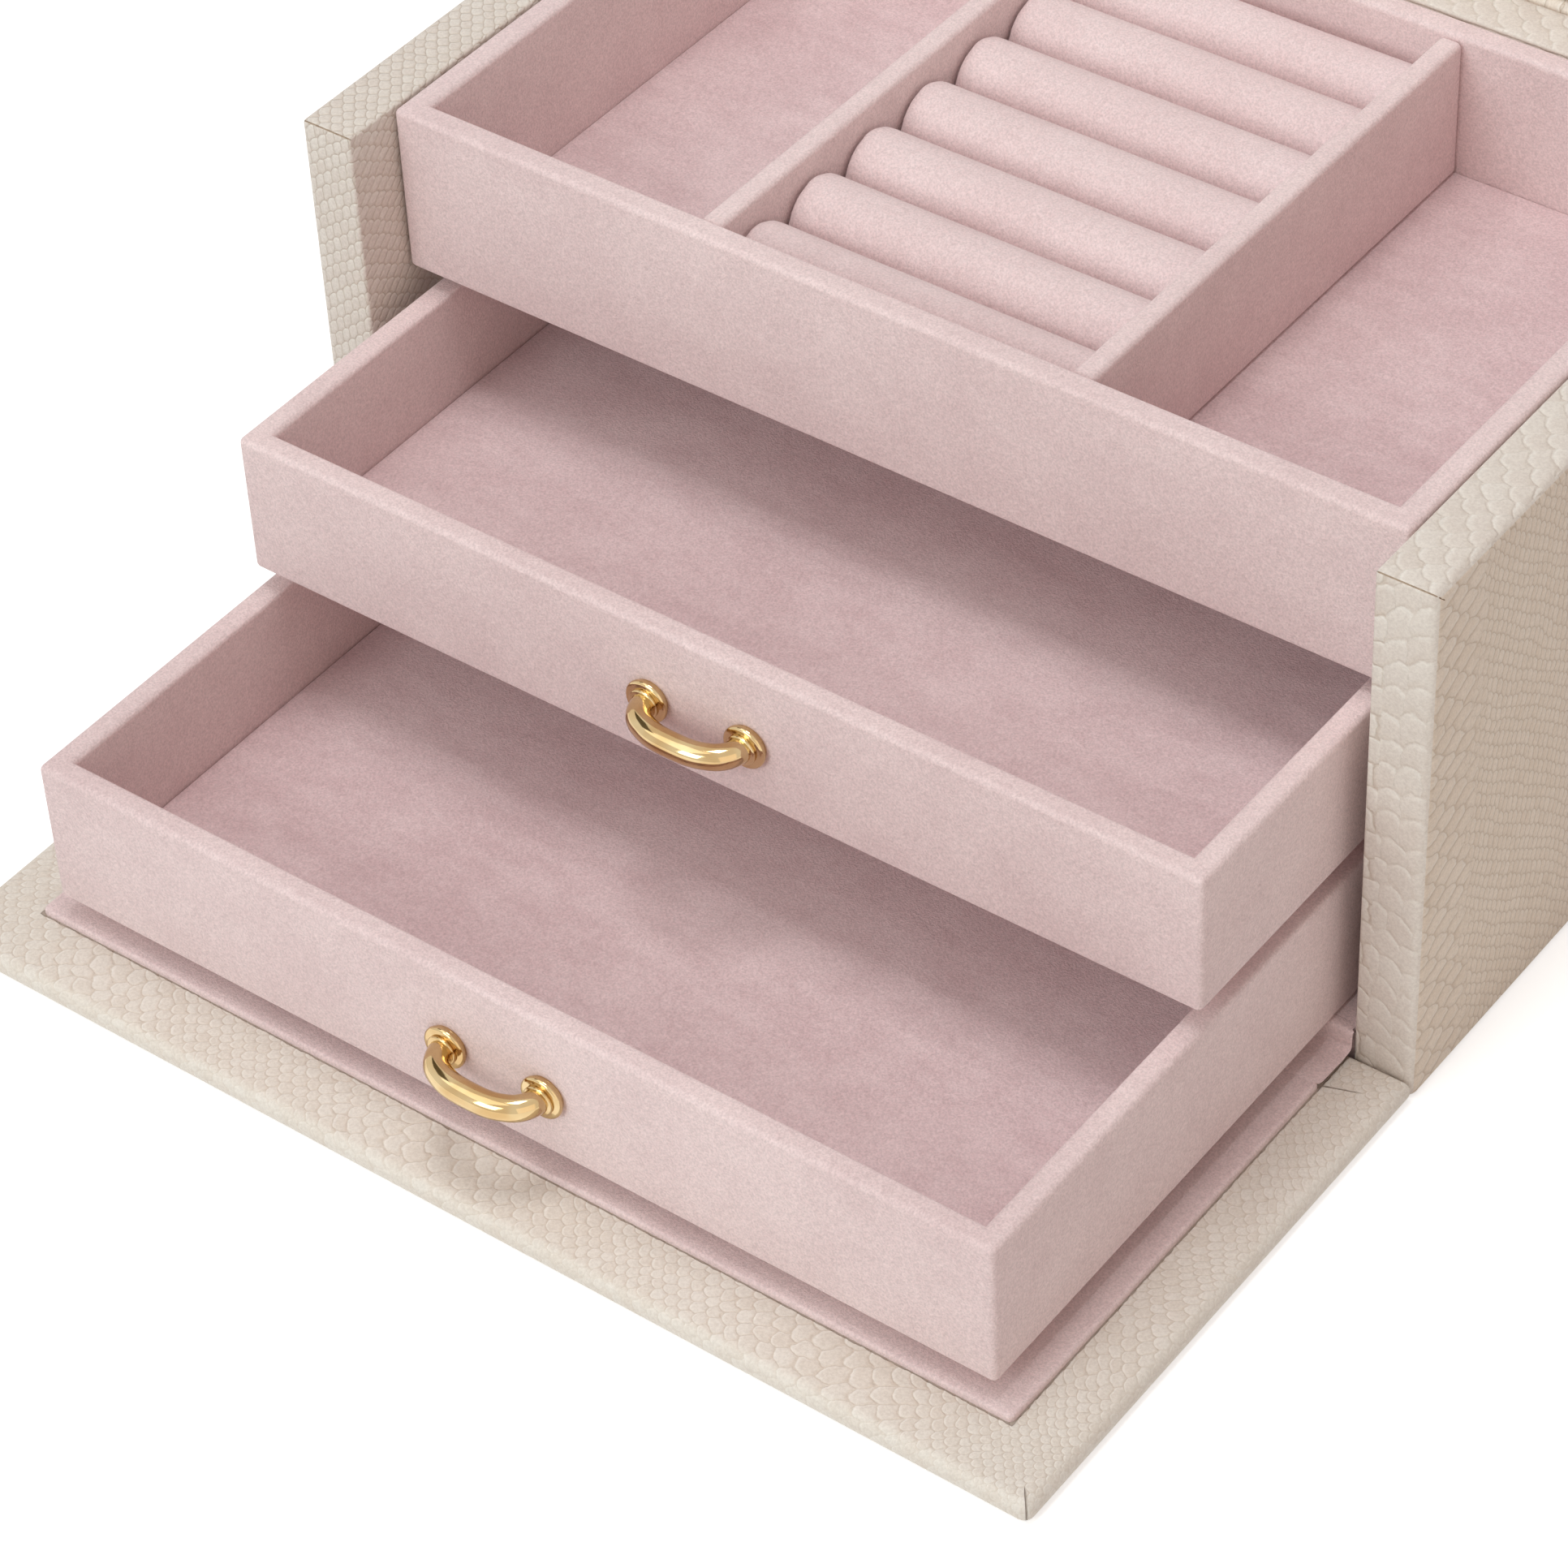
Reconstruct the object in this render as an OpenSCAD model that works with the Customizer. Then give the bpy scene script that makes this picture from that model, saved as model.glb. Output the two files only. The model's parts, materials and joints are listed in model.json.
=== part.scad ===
// Jewellery chest: leather carcass with a drop front, two drawers, a fixed top tray and a mirrored lid.
// Millimetres. X runs across the width, -Y is the front and +Z is up.
// The origin is the middle of the underside, on the table.
// Drawn as it stands in use: front flap down, both drawers pulled out, lid open.

/* [Carcass] */
// Overall width over the two side walls
carcass_w = 260; // [230:1:300]
// Overall depth from the front edge of the walls to the back
carcass_d = 167; // [155:1:200]
// Height of the walls above the table
carcass_h = 124.5; // [118:0.5:150]
// Thickness of the leather-wrapped walls
wall_t = 13; // [9:0.5:16]
// Rounding of the leather along the top edges of the walls
wall_edge_r = 2.5; // [0.5:0.25:4]
// Thickness of the bottom board
bottom_t = 8.6; // [6:0.2:12]
// Thickness of the felt on the underside
base_cover_t = 1; // [0.6:0.1:1.5]
// Thickness of the suede on the carcass floor
floor_lining_t = 1.5; // [0.8:0.1:2]
// Thickness of the suede on the inside of the back wall
back_lining_t = 1; // [0.6:0.1:2]
// Set-back of the tray and of the closed drawers behind the front edge of the walls
front_recess = 12.5; // [12:0.5:20]

/* [Drawers] */
// Height of the upper drawer
upper_drawer_h = 32.5; // [28:0.5:36]
// Height of the lower drawer
lower_drawer_h = 34.2; // [28:0.5:38]
// How far the upper drawer is pulled out
upper_pull = 58.5; // [20:0.5:100]
// How far the lower drawer is pulled out
lower_pull = 123.3; // [60:0.5:124]
// Thickness of the drawer sides
drawer_board_t = 5.2; // [3:0.2:6]
// Thickness of the drawer floor board
drawer_floor_t = 4.2; // [3:0.2:5]
// Thickness of the padded suede floor in a drawer
drawer_pad_t = 3.6; // [1.5:0.1:5]
// Running gap under a drawer
drawer_lift = 0.3; // [0.2:0.05:0.6]
// Running gap on each side of a drawer
drawer_side_gap = 1; // [0.5:0.1:2]
// Gap behind a closed drawer
drawer_back_gap = 1.5; // [0.5:0.1:4]
// Thickness of the runner boards beside the drawers
runner_t = 4; // [3:0.2:6]
// Set-back of the runner boards behind the front of the shelf
runner_set_back = 10; // [0:1:30]
// Thickness of the shelf between the drawers
shelf_t = 3; // [2:0.2:4]
// Gap between the lower drawer and the shelf
shelf_headroom = 1.6; // [1:0.1:3]
// Gap between the upper drawer and the tray
tray_headroom = 3.5; // [1:0.1:5]

/* [Tray] */
// Thickness of the tray walls
tray_wall_t = 5.5; // [3:0.25:6]
// Thickness of the tray floor board
tray_floor_t = 4.2; // [3:0.2:5]
// Thickness of the suede on the tray floor
tray_lining_t = 1.5; // [0.8:0.1:3]
// Fitting gap between the tray and the carcass
tray_gap = 0.6; // [0.4:0.1:1.5]
// Thickness of a divider
divider_t = 5; // [3:0.5:7]
// How far the dividers stop below the rim
divider_drop = 1; // [0.5:0.25:4]
// Clear width between the two dividers
roll_bay_w = 80.4; // [60:0.5:100]
// How far the crowns of the ring rolls stop below the rim
roll_drop = 5.3; // [2:0.1:12]
// Gap between neighbouring ring rolls and at their ends
roll_gap = 0.2; // [0.1:0.05:0.5]

/* [Front flap] */
// Length of the open flap in front of the walls
flap_len = 127; // [124.5:0.5:160]
// Thickness of the flap
flap_t = 5.3; // [4:0.1:6]
// Gap between the rounded end of the flap and the walls
flap_gap = 0.3; // [0.3:0.05:1]
// Thickness of the suede panel on the flap
flap_lining_t = 1.5; // [0.8:0.1:2]
// Leather border beside the suede panel
flap_side_border = 13.6; // [10:0.2:20]
// Leather border along the far edge of the flap
flap_end_border = 14.7; // [10:0.1:20]
// Distance from the walls to the start of the suede panel
flap_lining_start = 11; // [7:0.5:16]
// Thickness of the suede hinge strip over the front of the bottom board
hinge_strip_t = 1.2; // [0.6:0.1:2]

/* [Lid] */
// Thickness of the lid
lid_t = 7.5; // [6:0.25:12]
// Angle between the closed and the open lid
lid_open = 100; // [92:1:110]
// Gap under the closed lid
lid_seat_gap = 0.3; // [0.3:0.05:1]
// Distance of the hinge line behind the carcass
lid_hinge_out = 1; // [0.8:0.1:2]
// Radius of the rolled leather fold on the hinge line
lid_fold_r = 0.8; // [0.5:0.05:0.8]
// Distance from the hinge line to the edge of the lid
lid_hinge_gap = 1.2; // [1.2:0.05:2]
// Thickness of the leather hinge strip at the back
lid_strip_t = 0.8; // [0.5:0.05:0.8]
// Height of the leather hinge strip at the back
lid_strip_h = 20; // [12:1:40]
// Leather border round the suede panel inside the lid
lid_border = 15; // [10:0.5:25]
// Depth of the pocket for the suede panel and the mirror
lid_pocket = 3; // [2.4:0.2:4]
// Width of the suede frame round the mirror
mirror_frame_w = 18; // [10:0.5:30]
// Thickness of the mirror
mirror_t = 2; // [1.5:0.1:2.2]
// Fitting gap round the suede panel and the mirror
inset_gap = 0.2; // [0.1:0.05:0.5]

/* [Handles] */
// Distance between the two posts of a handle
handle_pitch = 23; // [18:0.5:32]
// Diameter of the handle bar
handle_bar_d = 5.2; // [3.5:0.1:5.5]
// How far a handle stands out from its drawer
handle_out = 11; // [9:0.1:11]
// How far a handle sits below the middle of its drawer
handle_drop = 1.5; // [0:0.1:3]
// Radius of the bend at each end of the bar
handle_bend_r = 4.4; // [3:0.1:5]
// Diameter of the rosette under each post
rosette_d = 9.5; // [7:0.1:11]
// Thickness of the rosette
rosette_t = 1.9; // [0.8:0.1:2.4]
// Diameter of the raised step on the rosette
rosette_step_d = 6.6; // [5.5:0.1:8]
// Thickness of the raised step
rosette_step_t = 0.8; // [0.6:0.1:1.6]
// Diameter of the screw that holds a post
screw_d = 2.5; // [2:0.1:3]
// Depth of the screw in the post
screw_depth = 5; // [3:0.25:6]
// Diameter of the screw head
screw_head_d = 5.4; // [4.5:0.1:7]
// Thickness of the screw head
screw_head_t = 1.6; // [1:0.1:2.5]
// Gap round the screw
screw_gap = 0.1; // [0.05:0.05:0.3]

/* [Magnets] */
// Diameter of the closing magnets
magnet_d = 8; // [5:0.5:8.5]
// Thickness of the closing magnets
magnet_t = 2; // [1:0.1:2.5]
// Distance of the wall magnets below the top of the walls
magnet_drop = 12; // [8:0.5:30]
// Fitting gap round a magnet
magnet_gap = 0.1; // [0.05:0.05:0.3]
// Leather over a magnet
magnet_cover_t = 0.8; // [0.4:0.1:1]

/* [Hidden] */
$fn = 64;
overcut = 1;
ring_roll_count = 7;
leather = "#ddd0bd";
suede = "#c9a5a8";
soft_suede = "#dcb6b6";
board_core = "#b89b7c";
felt = "#8d8178";
gold = "#d8b35a";
steel = "#a9abad";
mirror_glass = "#c9d4d8";

half_w = carcass_w / 2;
inner_x = half_w - wall_t;
front_y = -carcass_d / 2;
back_y = carcass_d / 2;
back_wall_y = back_y - wall_t;

floor_z = base_cover_t + bottom_t + floor_lining_t;
lower_drawer_z = floor_z + drawer_lift;
shelf_z = lower_drawer_z + lower_drawer_h + shelf_headroom;
upper_floor_z = shelf_z + shelf_t;
upper_drawer_z = upper_floor_z + drawer_lift;
tray_z = upper_drawer_z + upper_drawer_h + tray_headroom;

tray_front_y = front_y + front_recess;
tray_back_y = back_wall_y - tray_gap;
tray_x = inner_x - tray_gap;
tray_in_x = tray_x - tray_wall_t;
tray_in_front_y = tray_front_y + tray_wall_t;
tray_in_back_y = tray_back_y - tray_wall_t;
tray_lining_z = tray_z + tray_floor_t;
tray_bay_z = tray_lining_z + tray_lining_t;
divider_x = roll_bay_w / 2;
roll_pitch = (tray_in_back_y - tray_in_front_y) / ring_roll_count;
roll_r = (roll_pitch - roll_gap) / 2;
roll_axis_z = carcass_h - roll_drop - roll_r;

runner_front_y = tray_front_y + runner_set_back;
runner_in_x = inner_x - runner_t;
back_lining_y = back_wall_y - back_lining_t;
drawer_x = runner_in_x - drawer_side_gap;
drawer_in_x = drawer_x - drawer_board_t;
drawer_d = back_lining_y - drawer_back_gap - tray_front_y;
upper_drawer_y = tray_front_y - upper_pull;
lower_drawer_y = tray_front_y - lower_pull;

flap_r = flap_t / 2;
flap_hinge_y = front_y - flap_gap - flap_r;
flap_hinge_z = flap_r;
flap_end_y = front_y - flap_len;

lid_hinge_y = back_y + lid_hinge_out;
lid_hinge_z = carcass_h;
lid_d = carcass_d + lid_hinge_out - lid_hinge_gap;
lid_panel_x = half_w - lid_border;
lid_panel_front = lid_d + lid_hinge_gap - lid_border;
lid_panel_back = lid_hinge_gap + lid_border;
mirror_x = lid_panel_x - mirror_frame_w;

magnet_z = carcass_h - magnet_drop;
magnet_x = half_w - wall_t / 2;
flap_magnet_y = flap_hinge_y - (magnet_z - flap_hinge_z);
flap_magnet_z = flap_t - magnet_cover_t - magnet_gap - magnet_t;

handle_bar_y = handle_out - handle_bar_d / 2;
upper_handle_z = upper_drawer_z + upper_drawer_h / 2 - handle_drop;
lower_handle_z = lower_drawer_z + lower_drawer_h / 2 - handle_drop;
screw_hole_d = screw_d + 2 * screw_gap;

// A flat board given by its two opposite corners.
module board(low, high) {
    translate(low)
        cube(high - low);
}

// A disc or rod that lies along Y and grows towards the back from a point.
module rod_y(at, d, length) {
    translate(at)
        rotate([-90, 0, 0])
            cylinder(d = d, h = length);
}

// Cross-section of a wall: a rectangle whose two top corners are rounded.
module wall_section() {
    square([wall_t, carcass_h - wall_edge_r]);
    translate([wall_edge_r, 0])
        square([wall_t - 2 * wall_edge_r, carcass_h]);
    for (x = [wall_edge_r, wall_t - wall_edge_r])
        translate([x, carcass_h - wall_edge_r])
            circle(r = wall_edge_r);
}

// Pocket for a closing magnet, under the leather on the front edge of a side wall.
module wall_magnet_pocket(side) {
    rod_y(
        [side * magnet_x, front_y + magnet_cover_t, magnet_z],
        magnet_d + 2 * magnet_gap,
        magnet_t + 2 * magnet_gap
    );
}

module side_wall(side) {
    color(leather)
        difference() {
            translate([side > 0 ? inner_x : -half_w, back_y, 0])
                rotate([90, 0, 0])
                    linear_extrude(carcass_d)
                        wall_section();
            wall_magnet_pocket(side);
        }
}

module left_wall() {
    side_wall(-1);
}

module right_wall() {
    side_wall(1);
}

module back_wall() {
    color(leather)
        translate([-inner_x, back_wall_y, 0])
            rotate([90, 0, 90])
                linear_extrude(2 * inner_x)
                    wall_section();
}

module bottom_board() {
    color(board_core)
        board(
            [-inner_x, front_y + hinge_strip_t, base_cover_t],
            [inner_x, back_wall_y, base_cover_t + bottom_t]
        );
}

module base_cover() {
    color(felt)
        board([-inner_x, front_y + hinge_strip_t, 0], [inner_x, back_wall_y, base_cover_t]);
}

module floor_lining() {
    color(suede)
        board([-inner_x, front_y + hinge_strip_t, base_cover_t + bottom_t], [inner_x, back_wall_y, floor_z]);
}

module back_lining() {
    color(suede)
        board([-runner_in_x, back_lining_y, floor_z], [runner_in_x, back_wall_y, shelf_z]);
    color(suede)
        board([-runner_in_x, back_lining_y, upper_floor_z], [runner_in_x, back_wall_y, tray_z]);
}

// A runner board beside one drawer bay.
module runner(side, low_z, high_z) {
    color(suede)
        board(
            [side > 0 ? runner_in_x : -inner_x, runner_front_y, low_z],
            [side > 0 ? inner_x : -runner_in_x, back_wall_y, high_z]
        );
}

module lower_left_runner() {
    runner(-1, floor_z, shelf_z);
}

module lower_right_runner() {
    runner(1, floor_z, shelf_z);
}

module drawer_shelf() {
    color(suede)
        board([-inner_x, tray_front_y, shelf_z], [inner_x, back_wall_y, upper_floor_z]);
}

module upper_left_runner() {
    runner(-1, upper_floor_z, tray_z);
}

module upper_right_runner() {
    runner(1, upper_floor_z, tray_z);
}

module front_hinge_strip() {
    color(suede)
        board([-inner_x, front_y, 0], [inner_x, front_y + hinge_strip_t, floor_z]);
}

module lid_hinge_strip() {
    color(leather) {
        board(
            [-inner_x, back_y, carcass_h - wall_edge_r - lid_strip_h],
            [inner_x, back_y + lid_strip_t, carcass_h]
        );
        translate([-inner_x, lid_hinge_y, lid_hinge_z])
            rotate([0, 90, 0])
                cylinder(r = lid_fold_r, h = 2 * inner_x);
    }
}

module wall_magnets() {
    color(steel)
        for (side = [-1, 1])
            rod_y([side * magnet_x, front_y + magnet_cover_t + magnet_gap, magnet_z], magnet_d, magnet_t);
}

module tray_front() {
    color(suede)
        board([-tray_x, tray_front_y, tray_z], [tray_x, tray_in_front_y, carcass_h]);
}

module tray_back() {
    color(suede)
        board([-tray_x, tray_in_back_y, tray_z], [tray_x, tray_back_y, carcass_h]);
}

module tray_side(side) {
    color(suede)
        board(
            [side > 0 ? tray_in_x : -tray_x, tray_in_front_y, tray_z],
            [side > 0 ? tray_x : -tray_in_x, tray_in_back_y, carcass_h]
        );
}

module tray_left_side() {
    tray_side(-1);
}

module tray_right_side() {
    tray_side(1);
}

module tray_floor() {
    color(board_core)
        board([-tray_in_x, tray_in_front_y, tray_z], [tray_in_x, tray_in_back_y, tray_lining_z]);
}

module tray_lining() {
    color(suede)
        board([-tray_in_x, tray_in_front_y, tray_lining_z], [tray_in_x, tray_in_back_y, tray_bay_z]);
}

module divider(side) {
    color(suede)
        board(
            [side > 0 ? divider_x : -divider_x - divider_t, tray_in_front_y, tray_bay_z],
            [side > 0 ? divider_x + divider_t : -divider_x, tray_in_back_y, carcass_h - divider_drop]
        );
}

module left_divider() {
    divider(-1);
}

module right_divider() {
    divider(1);
}

// One padded roll: a round crown on straight sides that stand on the tray floor.
module ring_roll(index) {
    color(soft_suede)
        translate([-divider_x + roll_gap, tray_in_front_y + (index - 0.5) * roll_pitch, 0])
            rotate([90, 0, 90])
                linear_extrude(roll_bay_w - 2 * roll_gap) {
                    translate([0, roll_axis_z])
                        circle(r = roll_r);
                    translate([-roll_r, tray_bay_z])
                        square([2 * roll_r, roll_axis_z - tray_bay_z]);
                }
}

module flap_board() {
    color(leather)
        difference() {
            translate([-half_w, 0, 0])
                rotate([90, 0, 90])
                    linear_extrude(carcass_w) {
                        translate([flap_end_y + flap_r, 0])
                            square([flap_hinge_y - flap_end_y - flap_r, flap_t]);
                        translate([flap_hinge_y, flap_hinge_z])
                            circle(r = flap_r);
                        translate([flap_end_y + flap_r, flap_hinge_z])
                            circle(r = flap_r);
                    }
            for (side = [-1, 1])
                translate([side * magnet_x, flap_magnet_y, flap_magnet_z - magnet_gap])
                    cylinder(d = magnet_d + 2 * magnet_gap, h = magnet_t + 2 * magnet_gap);
        }
}

module flap_lining() {
    color(suede)
        board(
            [-half_w + flap_side_border, flap_end_y + flap_end_border, flap_t],
            [half_w - flap_side_border, front_y - flap_lining_start, flap_t + flap_lining_t]
        );
}

module flap_magnets() {
    color(steel)
        for (side = [-1, 1])
            translate([side * magnet_x, flap_magnet_y, flap_magnet_z])
                cylinder(d = magnet_d, h = magnet_t);
}

// Turns what is drawn as lying closed, with the hinge line along X, into the open lid.
module opened_lid() {
    translate([0, lid_hinge_y, lid_hinge_z])
        rotate([-lid_open, 0, 0])
            children();
}

module lid_board() {
    color(leather)
        opened_lid()
            difference() {
                board(
                    [-half_w, -lid_hinge_gap - lid_d, lid_seat_gap],
                    [half_w, -lid_hinge_gap, lid_seat_gap + lid_t]
                );
                board(
                    [-lid_panel_x, -lid_panel_front, lid_seat_gap - overcut],
                    [lid_panel_x, -lid_panel_back, lid_seat_gap + lid_pocket]
                );
            }
}

module lid_lining() {
    color(suede)
        opened_lid()
            difference() {
                board(
                    [-lid_panel_x + inset_gap, -lid_panel_front + inset_gap, lid_seat_gap],
                    [lid_panel_x - inset_gap, -lid_panel_back - inset_gap, lid_seat_gap + lid_pocket]
                );
                board(
                    [-mirror_x, -lid_panel_front + mirror_frame_w, lid_seat_gap - overcut],
                    [mirror_x, -lid_panel_back - mirror_frame_w, lid_seat_gap + lid_pocket + overcut]
                );
            }
}

module mirror_panel() {
    color(mirror_glass)
        opened_lid()
            board(
                [-mirror_x + inset_gap, -lid_panel_front + mirror_frame_w + inset_gap,
                    lid_seat_gap + lid_pocket - mirror_t],
                [mirror_x - inset_gap, -lid_panel_back - mirror_frame_w - inset_gap, lid_seat_gap + lid_pocket]
            );
}

// Places the two posts of a handle on a drawer whose front face is at y and whose middle is at z.
module at_posts(y, z) {
    for (side = [-1, 1])
        translate([side * handle_pitch / 2, y, z])
            children();
}

module drawer_front(y, z, h) {
    color(suede)
        difference() {
            board([-drawer_x, y, z], [drawer_x, y + drawer_board_t, z + h]);
            at_posts(y, z + h / 2 - handle_drop)
                rod_y([0, -overcut, 0], screw_hole_d, drawer_board_t + 2 * overcut);
        }
}

module drawer_back(y, z, h) {
    color(suede)
        board([-drawer_x, y + drawer_d - drawer_board_t, z], [drawer_x, y + drawer_d, z + h]);
}

module drawer_side(side, y, z, h) {
    color(suede)
        board(
            [side > 0 ? drawer_in_x : -drawer_x, y + drawer_board_t, z],
            [side > 0 ? drawer_x : -drawer_in_x, y + drawer_d - drawer_board_t, z + h]
        );
}

module drawer_floor(y, z) {
    color(board_core)
        board(
            [-drawer_in_x, y + drawer_board_t, z],
            [drawer_in_x, y + drawer_d - drawer_board_t, z + drawer_floor_t]
        );
}

module drawer_pad(y, z) {
    color(suede)
        board(
            [-drawer_in_x, y + drawer_board_t, z + drawer_floor_t],
            [drawer_in_x, y + drawer_d - drawer_board_t, z + drawer_floor_t + drawer_pad_t]
        );
}

// A bow handle in one casting: two stepped rosettes, two posts, two bends and a bar.
module handle(y, z) {
    bar_half = handle_pitch / 2 - handle_bend_r;
    post_out = handle_bar_y - handle_bend_r;
    color(gold)
        difference() {
            union() {
                at_posts(y, z) {
                    rod_y([0, -rosette_t, 0], rosette_d, rosette_t);
                    rod_y([0, -rosette_t - rosette_step_t, 0], rosette_step_d, rosette_step_t);
                    rod_y([0, -post_out, 0], handle_bar_d, post_out);
                }
                translate([bar_half, y - post_out, z])
                    rotate([0, 0, -90])
                        rotate_extrude(angle = 90)
                            translate([handle_bend_r, 0])
                                circle(d = handle_bar_d);
                translate([-bar_half, y - post_out, z])
                    rotate([0, 0, 180])
                        rotate_extrude(angle = 90)
                            translate([handle_bend_r, 0])
                                circle(d = handle_bar_d);
                translate([-bar_half, y - handle_bar_y, z])
                    rotate([0, 90, 0])
                        cylinder(d = handle_bar_d, h = 2 * bar_half);
            }
            at_posts(y, z)
                rod_y([0, -screw_depth - screw_gap, 0], screw_hole_d, screw_depth + screw_gap + overcut);
        }
}

module handle_screws(y, z) {
    color(steel)
        at_posts(y, z) {
            rod_y([0, -screw_depth, 0], screw_d, screw_depth + drawer_board_t);
            rod_y([0, drawer_board_t, 0], screw_head_d, screw_head_t);
        }
}

module upper_drawer_front() {
    drawer_front(upper_drawer_y, upper_drawer_z, upper_drawer_h);
}

module upper_drawer_back() {
    drawer_back(upper_drawer_y, upper_drawer_z, upper_drawer_h);
}

module upper_drawer_left_side() {
    drawer_side(-1, upper_drawer_y, upper_drawer_z, upper_drawer_h);
}

module upper_drawer_right_side() {
    drawer_side(1, upper_drawer_y, upper_drawer_z, upper_drawer_h);
}

module upper_drawer_floor() {
    drawer_floor(upper_drawer_y, upper_drawer_z);
}

module upper_drawer_pad() {
    drawer_pad(upper_drawer_y, upper_drawer_z);
}

module upper_handle() {
    handle(upper_drawer_y, upper_handle_z);
}

module upper_handle_screws() {
    handle_screws(upper_drawer_y, upper_handle_z);
}

module lower_drawer_front() {
    drawer_front(lower_drawer_y, lower_drawer_z, lower_drawer_h);
}

module lower_drawer_back() {
    drawer_back(lower_drawer_y, lower_drawer_z, lower_drawer_h);
}

module lower_drawer_left_side() {
    drawer_side(-1, lower_drawer_y, lower_drawer_z, lower_drawer_h);
}

module lower_drawer_right_side() {
    drawer_side(1, lower_drawer_y, lower_drawer_z, lower_drawer_h);
}

module lower_drawer_floor() {
    drawer_floor(lower_drawer_y, lower_drawer_z);
}

module lower_drawer_pad() {
    drawer_pad(lower_drawer_y, lower_drawer_z);
}

module lower_handle() {
    handle(lower_drawer_y, lower_handle_z);
}

module lower_handle_screws() {
    handle_screws(lower_drawer_y, lower_handle_z);
}

left_wall();
right_wall();
back_wall();
bottom_board();
base_cover();
floor_lining();
back_lining();
lower_left_runner();
lower_right_runner();
drawer_shelf();
upper_left_runner();
upper_right_runner();
front_hinge_strip();
lid_hinge_strip();
wall_magnets();
tray_front();
tray_back();
tray_left_side();
tray_right_side();
tray_floor();
tray_lining();
left_divider();
right_divider();
ring_roll(1);  // ring_roll_1
ring_roll(2);  // ring_roll_2
ring_roll(3);  // ring_roll_3
ring_roll(4);  // ring_roll_4
ring_roll(5);  // ring_roll_5
ring_roll(6);  // ring_roll_6
ring_roll(7);  // ring_roll_7
flap_board();
flap_lining();
flap_magnets();
lid_board();
lid_lining();
mirror_panel();  // mirror
upper_drawer_front();
upper_drawer_back();
upper_drawer_left_side();
upper_drawer_right_side();
upper_drawer_floor();
upper_drawer_pad();
upper_handle();
upper_handle_screws();
lower_drawer_front();
lower_drawer_back();
lower_drawer_left_side();
lower_drawer_right_side();
lower_drawer_floor();
lower_drawer_pad();
lower_handle();
lower_handle_screws();
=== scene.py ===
"""Dresses the jewellery chest: a leather carcass with a drop front, suede drawers and tray, gilt handles."""

import json
import logging
import math
from collections.abc import Callable, Iterator, Sequence
from contextlib import contextmanager
from dataclasses import dataclass, field
from enum import Enum

import bmesh
import bpy
from mathutils import Euler, Matrix, Vector

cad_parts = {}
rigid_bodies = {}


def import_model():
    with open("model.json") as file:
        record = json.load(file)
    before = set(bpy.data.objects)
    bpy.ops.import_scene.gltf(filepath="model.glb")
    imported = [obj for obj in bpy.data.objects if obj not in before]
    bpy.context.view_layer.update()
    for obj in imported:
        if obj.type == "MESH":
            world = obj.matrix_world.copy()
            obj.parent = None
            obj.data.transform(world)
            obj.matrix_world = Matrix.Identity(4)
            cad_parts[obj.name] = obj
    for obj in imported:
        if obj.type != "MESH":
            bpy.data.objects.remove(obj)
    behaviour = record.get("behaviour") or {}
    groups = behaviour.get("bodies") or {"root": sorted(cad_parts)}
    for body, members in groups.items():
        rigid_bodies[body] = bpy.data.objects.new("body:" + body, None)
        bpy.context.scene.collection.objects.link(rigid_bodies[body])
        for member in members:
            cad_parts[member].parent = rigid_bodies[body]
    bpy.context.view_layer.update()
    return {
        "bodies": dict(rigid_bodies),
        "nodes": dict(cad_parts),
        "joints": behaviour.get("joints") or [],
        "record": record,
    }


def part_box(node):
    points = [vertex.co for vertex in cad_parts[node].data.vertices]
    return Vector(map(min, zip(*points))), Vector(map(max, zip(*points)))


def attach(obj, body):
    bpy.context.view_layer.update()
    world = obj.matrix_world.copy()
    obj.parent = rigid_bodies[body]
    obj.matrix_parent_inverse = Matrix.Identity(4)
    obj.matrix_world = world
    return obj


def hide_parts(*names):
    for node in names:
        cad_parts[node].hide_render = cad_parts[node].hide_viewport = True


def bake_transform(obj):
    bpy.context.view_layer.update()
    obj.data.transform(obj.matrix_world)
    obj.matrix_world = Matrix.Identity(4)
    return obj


# One millimetre, and the numbers of the axes.
MM = 0.001
X, Y, Z = 0, 1, 2
# Places that are nearer than SAME count as one, and a normal with FACING along an axis faces along it.
SAME = 0.01 * MM
FACING = 0.9
# The outer sides and the front of the carcass.
HALF_W = 130 * MM
FRONT = -83.5 * MM
# The slant of the scales on the borders, and the width and height of a scale in millimetres.
SLANT_RUN, SLANT_RISE = 0.626, 0.78
TIP_SCALE = (5.2, 5.7)
BRICK_SCALE = (2.3, 3.2)
BORDER_SCALE = (3.3, 3.0)
# Turns a fine grain out of line with the faces, so that no face cuts it flat.
SKEW = (0.5, 0.7, 0.3)
WHITE = (1.0, 1.0, 1.0, 1.0)
LOG = logging.getLogger("chest")
Colour = tuple[float, float, float]
Point = tuple[float, float, float]
Socket = bpy.types.NodeSocket
Node = bpy.types.Node
Piece = bpy.types.Object
Material = bpy.types.Material
Rule = Callable[[Vector, Vector], tuple[float, float]]


class Body(Enum):
    """The moving bodies of the chest."""

    CARCASS = "carcass"
    FLAP = "flap"
    LID = "lid"
    UPPER_DRAWER = "upper_drawer"
    LOWER_DRAWER = "lower_drawer"


class Border(Enum):
    """Where leather is drawn tight, so that its scales fade."""

    NONE = "none"
    OUTER_EDGES = "outer_edges"
    TIP_CORNERS = "tip_corners"


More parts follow.
